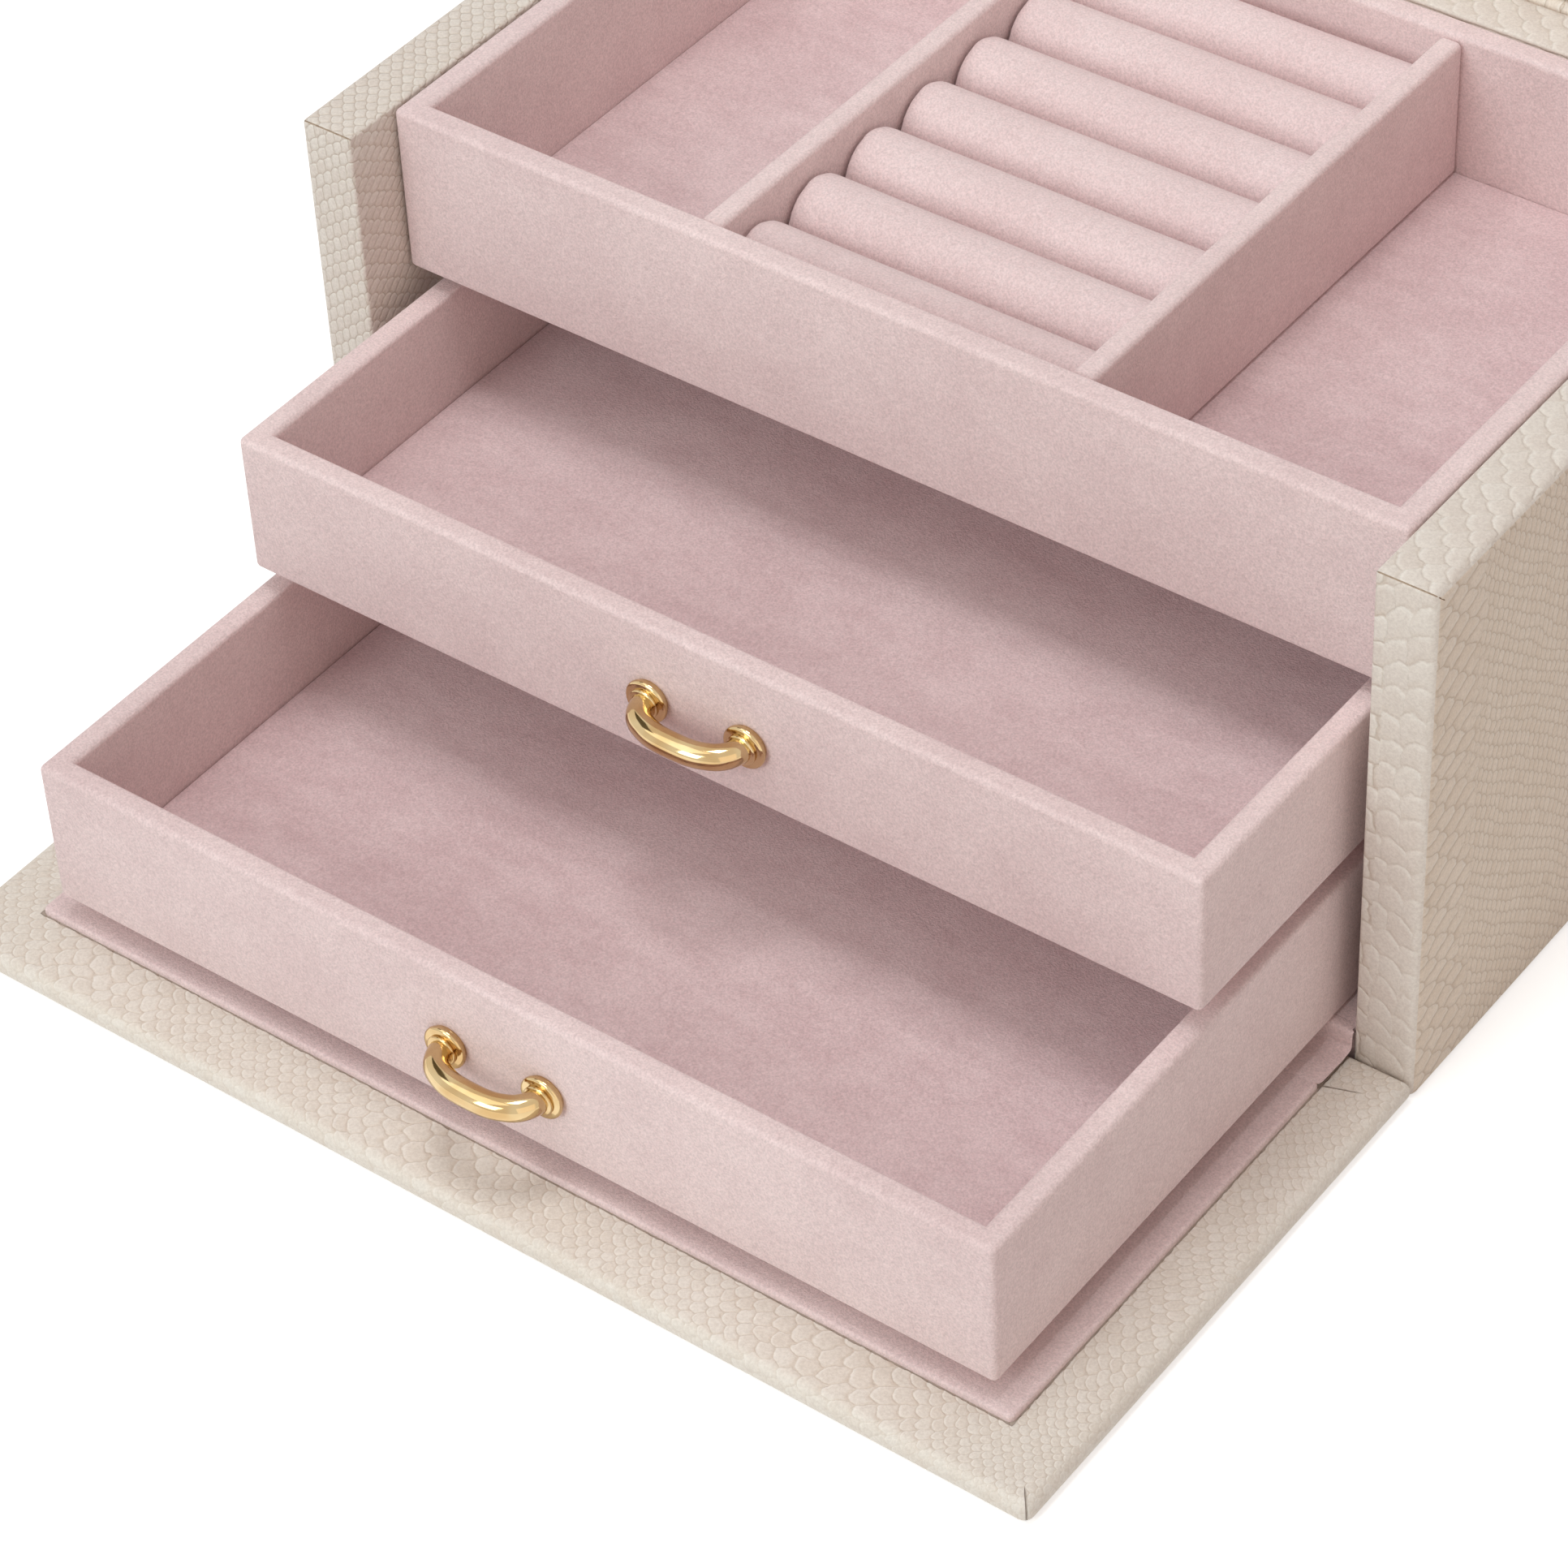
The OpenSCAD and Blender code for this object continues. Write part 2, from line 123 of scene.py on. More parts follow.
class Slot(Enum):
    """The finishes that the record names."""

    LEATHER = "leather"
    SUEDE = "suede"
    ROLL_SUEDE = "roll_suede"
    BOARD = "board"
    FELT = "felt"
    GOLD = "gold"
    STEEL = "steel"
    MIRROR = "mirror"


def linear(colour: Colour) -> tuple[float, float, float, float]:
    """Turns a colour as it looks on a screen into the shader's linear numbers.

    Args:
        colour: Red, green and blue from 0 to 255.

    Returns:
        Linear red, green, blue and full opacity.
    """
    parts = [c / 255 for c in colour]
    lin = [c / 12.92 if c <= 0.04045 else ((c + 0.055) / 1.055) ** 2.4 for c in parts]
    return (lin[0], lin[1], lin[2], 1.0)


class Weave:
    """A node tree under construction, with short ways to add and join nodes."""

    def __init__(self, tree: bpy.types.NodeTree) -> None:
        """Starts with an empty tree."""
        self.tree = tree
        self.tree.nodes.clear()

    def feed(self, target: Socket, value: object) -> None:
        """Gives an input a link when the value is an output, or else a plain value.

        Args:
            target: The input.
            value: An output or a plain value.
        """
        if isinstance(value, bpy.types.NodeSocket):
            self.tree.links.new(value, target)
        else:
            target.default_value = value

    def node(self, kind: str, inputs: dict[str | int, object] | None = None, **settings: object) -> Node:
        """Adds a node.

        Args:
            kind: The node's type without its ShaderNode prefix.
            inputs: Values or outputs for its inputs, by name or number.
            **settings: The node's own settings.

        Returns:
            The new node.
        """
        made = self.tree.nodes.new("ShaderNode" + kind)
        for key, value in settings.items():
            setattr(made, key, value)
        for key, value in (inputs or {}).items():
            self.feed(made.inputs[key], value)
        return made

    def math(self, operation: str, a: object, b: object = 0.0, c: object = 0.0) -> Socket:
        """Joins up to three numbers by one sum and returns its output."""
        made = self.node("Math", {0: a, 1: b, 2: c}, operation=operation)
        return made.outputs[0]

    def ramp(
        self,
        value: Socket,
        low: float,
        high: float,
        to_low: float = 0.0,
        to_high: float = 1.0,
    ) -> Socket:
        """Maps a number smoothly from one span to another, held at both ends.

        Args:
            value: The number.
            low: Where the first span starts.
            high: Where it ends.
            to_low: Where the second span starts.
            to_high: Where it ends.

        Returns:
            The mapped number.
        """
        made = self.node(
            "MapRange",
            {"Value": value, "From Min": low, "From Max": high, "To Min": to_low, "To Max": to_high},
            interpolation_type="SMOOTHSTEP",
        )
        return made.outputs[0]

    def mix(self, factor: object, a: object, b: object) -> Socket:
        """Mixes two colours and returns the result."""
        return self.node("Mix", {0: factor, 6: a, 7: b}, data_type="RGBA").outputs[2]

    def choose(self, factor: Socket, a: Socket, b: Socket) -> Socket:
        """Goes from one number to another by a factor from 0 to 1."""
        return self.math("MULTIPLY_ADD", factor, self.math("SUBTRACT", b, a), a)

    def spread(self, chance: Socket, reach: float) -> Socket:
        """Turns noise from 0 to 1 into a move of up to a reach to either side."""
        return self.math("MULTIPLY_ADD", chance, 2 * reach, -reach)

    def lift(self, colour: Socket, value: object) -> Socket:
        """Makes a colour lighter or darker by a factor."""
        return self.node("HueSaturation", {"Color": colour, "Value": value}).outputs[0]

    def place(self) -> Socket:
        """The point on the piece, in metres."""
        return self.node("TexCoord").outputs["Object"]

    def noise(self, vector: Socket, scale: float, detail: float = 2.0, rough: float = 0.5) -> Node:
        """Adds soft noise of so many waves to the metre.

        Args:
            vector: The coordinates.
            scale: Waves to the metre.
            detail: How many times finer waves are added.
            rough: How strong the finer waves are.

        Returns:
            The noise.
        """
        return self.node(
            "TexNoise",
            {"Vector": vector, "Scale": scale, "Detail": detail, "Roughness": rough},
        )

    def stretched(self, vector: Socket, scale: Sequence[float], turn: Sequence[float] = (0, 0, 0)) -> Socket:
        """Scales and turns coordinates for a pattern that runs one way."""
        made = self.node("Mapping", {"Vector": vector, "Scale": tuple(scale), "Rotation": tuple(turn)})
        return made.outputs[0]

    def bump(self, height: Socket, strength: object, depth: float, under: Socket | None = None) -> Socket:
        """Turns a height into a normal, on top of another one where it is given.

        Args:
            height: The height, from 0 to 1.
            strength: How much of it shows.
            depth: The whole height in metres.
            under: The normal it is laid on.

        Returns:
            The normal.
        """
        made = self.node("Bump", {"Height": height, "Strength": strength, "Distance": depth})
        if under is not None:
            self.feed(made.inputs["Normal"], under)
        return made.outputs[0]

    def seen(self) -> Socket:
        """Tells whether the camera looks here, straight or by way of polished metal or glass.

        Returns:
            1 where it does and 0 elsewhere.
        """
        path = self.node("LightPath")
        straight = self.math("MAXIMUM", path.outputs["Is Camera Ray"], path.outputs["Is Glossy Ray"])
        return self.math("MAXIMUM", straight, path.outputs["Is Transmission Ray"])


class Finish(Weave):
    """The nodes of one material, around its shader."""

    def __init__(self, name: str) -> None:
        """Starts an empty material with its shader and output.

        Args:
            name: The material's name.
        """
        self.material = bpy.data.materials.new(name)
        self.material.use_nodes = True
        super().__init__(self.material.node_tree)
        self.shader = self.node("BsdfPrincipled")
        self.node("OutputMaterial", {"Surface": self.shader.outputs["BSDF"]})

    def shade(self, **values: object) -> Material:
        """Feeds the shader and returns the material.

        Args:
            **values: Values or outputs, with underscores for the spaces in the names of the inputs.

        Returns:
            The material.
        """
        for key, value in values.items():
            self.feed(self.shader.inputs[key.replace("_", " ")], value)
        return self.material


@dataclass(frozen=True)
class ScaleSet:
    """One embossed pattern: the map it follows and the shape of its scales, in millimetres."""

    uv: str
    wide: float
    tall: float
    arch: float
    groove: float = 0.3
    sides: float = 1.0
    drift: float = 0.5
    sway: float = 0.2
    wobble: float = 0.12
    tremor: float = 0.05
    stray: float = 0.4
    melt: float = 0.3
    out_of_reach: float = 9.0

    def lay(self, weave: Weave) -> tuple[Socket, Socket, Socket, Socket]:
        """Lays overlapping rows of scales with rounded ends.

        Args:
            weave: The material being made.

        Returns:
            How far a point is out of the grooves, how far it is up the pillow of its scale, how far it is
            towards the lit end of its scale, and a random number for each scale.
        """
        place = weave.place()
        cells = weave.node("SeparateXYZ", {0: weave.node("UVMap", uv_map=self.uv).outputs[0]})
        across, along = cells.outputs[0], cells.outputs[1]
        for waves, reach in ((34, self.drift), (120, self.sway), (320, self.wobble), (900, self.tremor)):
            source = weave.node("SeparateColor", {0: weave.noise(place, waves, 1.0).outputs["Color"]})
            across = weave.math("ADD", across, weave.spread(source.outputs[0], reach))
            along = weave.math("ADD", along, weave.spread(source.outputs[1], reach))
        row = weave.math("FLOOR", along)
        rise = weave.math("FRACT", along)
        below = weave.math("ADD", across, self.shift(weave, row))
        beyond = weave.math("ADD", across, self.shift(weave, weave.math("ADD", row, 1.0)))
        lower = weave.math("SUBTRACT", weave.math("FRACT", below), 0.5)
        higher = weave.math("SUBTRACT", weave.math("FRACT", beyond), 0.5)
        step = weave.math("SUBTRACT", rise, self.bow(weave, lower))
        above = weave.math("GREATER_THAN", step, 0.0)
        to_root = weave.math("MULTIPLY", weave.math("ABSOLUTE", step), self.lean(weave, lower))
        left = weave.math("SUBTRACT", weave.math("ADD", self.bow(weave, higher), 1.0), rise)
        to_end = weave.math("MULTIPLY", left, self.lean(weave, higher))
        aside = weave.math("MULTIPLY_ADD", above, -self.out_of_reach, self.out_of_reach)
        to_end = weave.math("ADD", to_end, aside)
        own = weave.choose(above, lower, higher)
        half = weave.math("SUBTRACT", 0.5, weave.math("ABSOLUTE", own))
        to_side = weave.math("MULTIPLY", half, self.wide / self.sides)
        edge = weave.math("SMOOTH_MIN", to_root, to_end, self.melt)
        edge = weave.math("SMOOTH_MIN", edge, to_side, self.melt)
        to_light = weave.math("SUBTRACT", weave.math("ADD", rise, 1.0), above)
        to_light = weave.math("ADD", weave.math("ADD", own, 0.5), to_light)
        to_light = weave.math("MULTIPLY", to_light, 0.5)
        number = weave.math("FLOOR", weave.choose(above, below, beyond))
        cell = weave.node("CombineXYZ", {0: number, 1: weave.math("ADD", row, above)})
        lot = weave.node("TexWhiteNoise", {0: cell.outputs[0]}, noise_dimensions="2D")
        flat = weave.ramp(edge, 0.0, self.groove)
        pillow = weave.ramp(edge, 0.0, 4 * self.groove)
        return flat, pillow, to_light, lot.outputs["Value"]

    def shift(self, weave: Weave, row: Socket) -> Socket:
        """Sets a row aside from the one below it by half a scale, a little more or less by chance."""
        chance = weave.node("TexWhiteNoise", {"W": row}, noise_dimensions="1D").outputs["Value"]
        return weave.math("MULTIPLY_ADD", chance, self.stray, weave.math("MULTIPLY", row, 0.5))

    def bow(self, weave: Weave, across: Socket) -> Socket:
        """The rounded end of a scale, as a share of a row."""
        square = weave.math("MULTIPLY", across, across)
        return weave.math("MULTIPLY_ADD", square, -4 * self.arch, self.arch)

    def lean(self, weave: Weave, across: Socket) -> Socket:
        """The length of a row along the slope of the rounded end.

        Args:
            weave: The material being made.
            across: A place across a scale, from -0.5 to 0.5.

        Returns:
            The length in millimetres.
        """
        slope = 8 * self.arch * self.tall / self.wide
        square = weave.math("MULTIPLY", across, across)
        length = weave.math("INVERSE_SQRT", weave.math("MULTIPLY_ADD", square, slope * slope, 1.0))
        return weave.math("MULTIPLY", length, self.tall)


@dataclass(frozen=True)
class ScaleLeather:
    """Cream leather cloth with a low embossed scale, soft in colour and satin, with a painted highlight on
    the lit end of each scale's rim and painted shade on its other end.
    """

    name: str
    near: ScaleSet
    far: ScaleSet | None = None
    far_from: tuple[float, float] = (0.0, 0.01)
    light: Colour = (228, 220, 211)
    warm: Colour = (219, 207, 197)
    # Colour of the painted highlight on the lit end of each scale's rim; shade_share sets the painted shade
    # on its other end.
    highlight_colour: Colour = (240, 234, 226)
    line: Colour = (198, 178, 158)
    line_share: float = 0.2
    shade_share: float = 0.35
    highlight_share: float = 0.8
    lot_share: float = 0.4
    cloud_share: float = 0.8
    fleck_share: float = 0.4
    grain_share: float = 0.8
    roughness: float = 0.42
    rough_play: float = 0.14
    relief: float = 0.3
    scale_depth: float = 0.6 * MM
    grain_depth: float = 0.15 * MM
    border: Border = Border.NONE
    corner: tuple[float, float] = (HALF_W, FRONT)
    tip_fade: Point = (0.2 * MM, 1.8 * MM, 0.3)
    edge_fade: Point = (0.2 * MM, 2.4 * MM, 0.4)
    crease: float | None = None
    crease_bend: float = 0.35
    crease_in: float = 13.6 * MM
    tuck_in: float = 0.6 * MM
    panel: tuple[float, float] = (116.4 * MM, -195.8 * MM)
    # Colour and strength of the painted shade in the hinge crease, the corner tucks and the panel seam.
    fold_shade_colour: Colour = (128, 104, 86)
    fold_shade_share: float = 0.65
    fold_depth: float = 0.4 * MM

    def hold(self, weave: Weave) -> Socket:
        """Fades the scales out along the edges where the leather is drawn tight.

        Args:
            weave: The material being made.

        Returns:
            How much of the scales is left, up to 1.
        """
        half_w, front = self.corner
        point = weave.node("SeparateXYZ", {0: weave.place()})
        side = weave.math("SUBTRACT", half_w, weave.math("ABSOLUTE", point.outputs[0]))
        end = weave.math("SUBTRACT", point.outputs[1], front)
        if self.border is Border.TIP_CORNERS:
            return weave.ramp(weave.math("MAXIMUM", side, end), *self.tip_fade)
        ragged = weave.spread(weave.noise(weave.place(), 90).outputs[0], 2 * MM)
        near = weave.math("ADD", weave.math("MINIMUM", side, end), ragged)
        return weave.ramp(near, *self.edge_fade)

    def folds(self, weave: Weave) -> Socket:
        """Draws the crease beside the hinge, the tuck at each outer corner and the seam around the panel, as
        a mask for their painted shade and their dents.

        Args:
            weave: The material being made.

        Returns:
            A number that is 1 on the plain leather and 0 in a crease.
        """
        half_w, front = self.corner
        point = weave.node("SeparateXYZ", {0: weave.place()})
        out = weave.math("ABSOLUTE", point.outputs[0])
        from_bend = weave.math("SUBTRACT", out, half_w - self.crease_in)
        wave = weave.math("MULTIPLY_ADD", from_bend, self.crease_bend, self.crease)
        across = weave.math("ABSOLUTE", weave.math("SUBTRACT", point.outputs[1], wave))
        open_side = weave.ramp(out, half_w - 9 * MM, half_w - 3 * MM, 0.0, 0.4 * MM)
        hinge = weave.math("ADD", across, open_side)
        corner_x = weave.math("SUBTRACT", out, half_w - self.tuck_in)
        corner_y = weave.math("SUBTRACT", point.outputs[1], front + self.tuck_in)
        tuck = weave.math("MULTIPLY", corner_y, SLANT_RUN)
        tuck = weave.math("MULTIPLY_ADD", corner_x, SLANT_RISE, tuck)
        inward = weave.math("MULTIPLY", corner_y, SLANT_RISE)
        inward = weave.math("MULTIPLY_ADD", corner_x, -SLANT_RUN, inward)
        fading = weave.ramp(inward, 3 * MM, 7 * MM, 0.0, 0.5 * MM)
        tuck = weave.math("ADD", weave.math("ABSOLUTE", tuck), fading)
        panel_x, panel_y = self.panel
        beside = weave.math("SUBTRACT", out, panel_x)
        before = weave.math("SUBTRACT", panel_y, point.outputs[1])
        seam = weave.math("ABSOLUTE", weave.math("MAXIMUM", beside, before))
        ripple = weave.noise(weave.place(), 600).outputs[0]
        seam = weave.math("ADD", seam, weave.math("MULTIPLY_ADD", ripple, 0.6 * MM, -0.5 * MM))
        nearest = weave.math("MINIMUM", weave.math("MINIMUM", hinge, tuck), seam)
        return weave.ramp(nearest, 0.04 * MM, 0.24 * MM)

    def make(self) -> Material:
        """Builds the material.

        Returns:
            The material.
        """
        weave = Finish(self.name)
        place = weave.place()
        flat, pillow, lit, lot = self.near.lay(weave)
        if self.far is not None:
            flat_2, pillow_2, lit_2, lot_2 = self.far.lay(weave)
            depth = weave.node("SeparateXYZ", {0: place}).outputs[1]
            ragged = weave.spread(weave.noise(place, 110).outputs[0], 10 * MM)
            start, width = self.far_from
            share = weave.ramp(weave.math("ADD", depth, ragged), start, start + width)
            flat = weave.choose(share, flat, flat_2)
            pillow = weave.choose(share, pillow, pillow_2)
            lit = weave.choose(share, lit, lit_2)
            lot = weave.choose(share, lot, lot_2)
        skew = weave.stretched(place, (1, 1, 1), SKEW)
        grain = weave.noise(skew, 1700, 2.0, 0.65).outputs[0]
        cloud = weave.noise(place, 24, 3.0).outputs[0]
        fleck = weave.noise(place, 420, 2.0, 0.6).outputs[0]
        tone = weave.math("MULTIPLY", cloud, self.cloud_share)
        tone = weave.math("MULTIPLY_ADD", lot, self.lot_share, tone)
        tone = weave.math("MULTIPLY_ADD", fleck, self.fleck_share, tone)
        tone = weave.math("MULTIPLY_ADD", grain, self.grain_share, tone)
        skin = weave.mix(weave.ramp(tone, 0.7, 1.7), linear(self.warm), linear(self.light))
        # Painted highlight and painted shade: each scale's rim is lightened at its lit end and darkened at
        # its other end, as light falling on the emboss would.
        rim = weave.math("SUBTRACT", flat, pillow)
        painted_highlight = weave.math("MULTIPLY", weave.math("MULTIPLY", rim, lit), self.highlight_share)
        unlit = weave.math("MULTIPLY_ADD", rim, weave.math("MULTIPLY", lit, -1.0), rim)
        painted_shade = weave.math("MULTIPLY", unlit, self.shade_share)
        line_and_shade = weave.math("ADD", weave.math("MULTIPLY_ADD", flat, -self.line_share, self.line_share), painted_shade)
        strength: object = self.relief
        if self.border is not Border.NONE:
            hold = self.hold(weave)
            line_and_shade = weave.math("MULTIPLY", line_and_shade, hold)
            painted_highlight = weave.math("MULTIPLY", painted_highlight, hold)
            strength = weave.math("MULTIPLY", hold, self.relief)
        # Mixes in the painted highlight, then the groove lines together with the painted shade.
        skin = weave.mix(painted_highlight, skin, linear(self.highlight_colour))
        skin = weave.mix(line_and_shade, skin, linear(self.line))
        skin = weave.lift(skin, weave.ramp(grain, 0.3, 0.7, 0.95, 1.05))
        body = weave.math("MULTIPLY_ADD", lit, 0.4, 0.3)
        height = weave.math("MULTIPLY_ADD", flat, body, weave.math("MULTIPLY", pillow, 0.35))
        normal = weave.bump(height, strength, self.scale_depth)
        rough = weave.math("MULTIPLY_ADD", grain, self.rough_play, self.roughness)
        if self.crease is not None:
            fold = self.folds(weave)
            # Painted shade: the crease, the tucks and the seam are darkened towards the fold colour.
            fold_shade = weave.math("MULTIPLY_ADD", fold, -self.fold_shade_share, self.fold_shade_share)
            skin = weave.mix(fold_shade, skin, linear(self.fold_shade_colour))
            normal = weave.bump(fold, 0.8, self.fold_depth, normal)
        normal = weave.bump(grain, 0.3, self.grain_depth, normal)
        return weave.shade(Base_Color=skin, Roughness=rough, Specular_IOR_Level=0.3, Normal=normal)


@dataclass(frozen=True)
class Suede:
    """Brushed dusty-pink suede: short nap, cloudy where it was stroked one way or another."""

    name: str = "suede"
    light: Colour = (239, 218, 217)
    dark: Colour = (223, 198, 198)
    stroke: float = 0.35
    sheen: float = 0.3
    fuzz: float = 0.5
    nap: float = 0.12
    sweep: Point = (70, 190, 150)
    sweep_turn: float = 0.7
    cloud_share: float = 0.9
    patch_share: float = 0.55
    speck_share: float = 0.8
    fibre_depth: float = 0.4 * MM
    stroke_depth: float = 0.6 * MM

    def make(self) -> Material:
        """Builds the material.

        Returns:
            The material.
        """
        weave = Finish(self.name)
        place = weave.place()
        cloud = weave.noise(place, 15, 3.0, 0.55).outputs[0]
        swept = weave.stretched(place, self.sweep, (0.0, 0.0, self.sweep_turn))
        stroke = weave.noise(swept, 1.0, 3.0, 0.6).outputs[0]
        patch = weave.noise(place, 70, 3.0, 0.6).outputs[0]
        skew = weave.stretched(place, (1, 1, 1), SKEW)
        fibre = weave.noise(skew, 2100, 2.0, 0.7).outputs[0]
        speck = weave.noise(skew, 850, 2.0, 0.65).outputs[0]
        tone = weave.math("MULTIPLY", stroke, self.stroke)
        tone = weave.math("MULTIPLY_ADD", cloud, self.cloud_share, tone)
        tone = weave.math("MULTIPLY_ADD", patch, self.patch_share, tone)
        tone = weave.math("MULTIPLY_ADD", speck, self.speck_share, tone)
        middle = 0.5 * (self.cloud_share + self.stroke + self.patch_share + self.speck_share)
        share = weave.ramp(tone, middle - 0.5, middle + 0.5)
        pile = weave.mix(share, linear(self.dark), linear(self.light))
        pile = weave.lift(pile, weave.ramp(fibre, 0.28, 0.72, 1 - self.nap, 1 + self.nap))
        normal = weave.bump(fibre, self.fuzz, self.fibre_depth)
        return weave.shade(
            Base_Color=pile,
            Roughness=0.95,
            Specular_IOR_Level=0.1,
            Sheen_Weight=self.sheen,
            Sheen_Roughness=0.45,
            Sheen_Tint=(1.0, 0.93, 0.92, 1.0),
            Normal=weave.bump(stroke, 0.1, self.stroke_depth, normal),
        )


@dataclass(frozen=True)
class GiltMetal:
    """Polished pale gold plating with the faint waviness of a small casting."""

    name: str = "gilt_metal"
    bright: Colour = (217, 193, 148)
    deep: Colour = (201, 167, 116)
    polish: float = 0.06
    wave_depth: float = 0.4 * MM

    def make(self) -> Material:
        """Builds the material.

        Returns:
            The material.
        """
        weave = Finish(self.name)
        place = weave.place()
        cloud = weave.noise(place, 140).outputs[0]
        fine = weave.noise(place, 1800).outputs[0]
        return weave.shade(
            Base_Color=weave.mix(weave.ramp(cloud, 0.3, 0.7), linear(self.deep), linear(self.bright)),
            Metallic=1.0,
            Roughness=weave.math("MULTIPLY_ADD", fine, self.polish, self.polish),
            Normal=weave.bump(cloud, 0.04, self.wave_depth),
        )


@dataclass(frozen=True)
class PlainGrain:
    """A quiet finish with two colours and a grain, for boards, felt and steel."""

    name: str
    light: Colour
    dark: Colour
    waves: tuple[float, float, float]
    roughness: float
    metallic: float = 0.0
    relief: float = 0.25
    depth: float = 0.3 * MM
    play: float = 0.12

    def make(self) -> Material:
        """Builds the material.

        Returns:
            The material.
        """
        weave = Finish(self.name)
        place = weave.place()
        grain = weave.noise(weave.stretched(place, self.waves), 1.0, 4.0, 0.65).outputs[0]
        cloud = weave.noise(place, 40).outputs[0]
        share = weave.ramp(weave.math("MULTIPLY_ADD", cloud, 0.4, grain), 0.45, 0.95)
        return weave.shade(
            Base_Color=weave.mix(share, linear(self.dark), linear(self.light)),
            Metallic=self.metallic,
            Roughness=weave.math("MULTIPLY_ADD", grain, self.play, self.roughness - self.play / 2),
            Normal=weave.bump(grain, self.relief, self.depth),
        )


@dataclass(frozen=True)
class MirrorGlass:
    """Silvered mirror glass with a faint unevenness."""

    name: str = "mirror_glass"
    silver: Colour = (228, 233, 233)
    edge: Colour = (223, 229, 229)
    polish: float = 0.01

    def make(self) -> Material:
        """Builds the material.

        Returns:
            The material.
        """
        weave = Finish(self.name)
        haze = weave.noise(weave.place(), 18).outputs[0]
        return weave.shade(
            Base_Color=weave.mix(weave.ramp(haze, 0.2, 0.8), linear(self.edge), linear(self.silver)),
            Metallic=1.0,
            Roughness=weave.math("MULTIPLY_ADD", haze, self.polish, self.polish),
        )


class Wardrobe:
    """All the finishes of the chest, each made once."""

    def __init__(self) -> None:
        """Makes every finish."""
        tight = Border.TIP_CORNERS
        border = (*BORDER_SCALE, 0.32)
        border_form = {"groove": 0.2, "sides": 0.75, "sway": 0.35, "stray": 0.6}
        self.tip_leather = ScaleLeather(
            "tip_leather",
            ScaleSet("scales", *TIP_SCALE, 0.24, groove=0.48, sides=0.06, drift=0.25, sway=0.25, stray=0.7),
            line_share=0.1,
            relief=0.4,
            border=tight,
        ).make()
        self.brick_leather = ScaleLeather(
            "brick_leather",
            ScaleSet("scales", *BRICK_SCALE, 0.16, groove=0.2, sides=0.8, drift=0.35),
            line_share=0.42,
            shade_share=0.6,
            highlight_share=1.0,
            relief=0.5,
            border=tight,
        ).make()
        # The side leather is warmer and a little darker than the tip leather: painted shade for the outer
        # sides and the back, which also have their own scales.
        self.side_leather = ScaleLeather(
            "side_leather",
            ScaleSet("scales", 3.2, 5.0, 0.18, groove=0.3, sides=0.9, drift=0.4, sway=0.25),
            ScaleSet("fine", 1.8, 2.8, 0.2, groove=0.24, sides=0.6, drift=0.9, sway=0.4),
            far_from=(-71 * MM, 7 * MM),
            light=(230, 215, 199),
            warm=(221, 203, 184),
            line=(172, 146, 120),
            line_share=0.45,
            shade_share=0.45,
            highlight_share=0.5,
            border=tight,
        ).make()
        self.flap_leather = ScaleLeather(
            "flap_leather",
            ScaleSet("scales", *border, wobble=0.22, **border_form),
            light=(229, 222, 213),
            warm=(221, 210, 198),
            line_share=0.34,
            shade_share=0.65,
            highlight_share=1.0,
            border=Border.OUTER_EDGES,
            corner=(HALF_W, -210.5 * MM),
            crease=-94.2 * MM,
        ).make()
        self.lid_leather = ScaleLeather(
            "lid_leather",
            ScaleSet("scales", *border, wobble=0.2, **border_form),
            light=(235, 224, 212),
            warm=(226, 212, 198),
            line=(172, 146, 120),
            line_share=0.45,
            shade_share=0.5,
        ).make()
        even = (900, 900, 900)
        # The darker fold finish is painted shade for the sunk fold lines along the tips.
        self.fold = PlainGrain("leather_fold_shade", (188, 168, 148), (150, 128, 108), even, 0.7).make()
        self.suede = Suede().make()
        # A darker, pinker copy of the suede for the tray and drawer floors: painted shade.
        self.shaded_floor_suede = Suede("shaded_floor_suede", (236, 213, 214), (215, 186, 188), stroke=0.7).make()
        self.roll_suede = Suede("roll_suede", (236, 216, 216), (226, 200, 200), stroke=0.2, sheen=0.4).make()
        self.gold = GiltMetal().make()
        self.board = PlainGrain("board", (184, 158, 128), (150, 120, 92), (260, 260, 900), 0.8).make()
        self.felt = PlainGrain("felt", (150, 138, 128), (112, 101, 93), even, 0.96, relief=0.6).make()
        brushed = (2400, 300, 300)
        self.steel = PlainGrain("steel", (186, 188, 190), (140, 142, 146), brushed, 0.32, metallic=1.0).make()
        self.mirror = MirrorGlass().make()


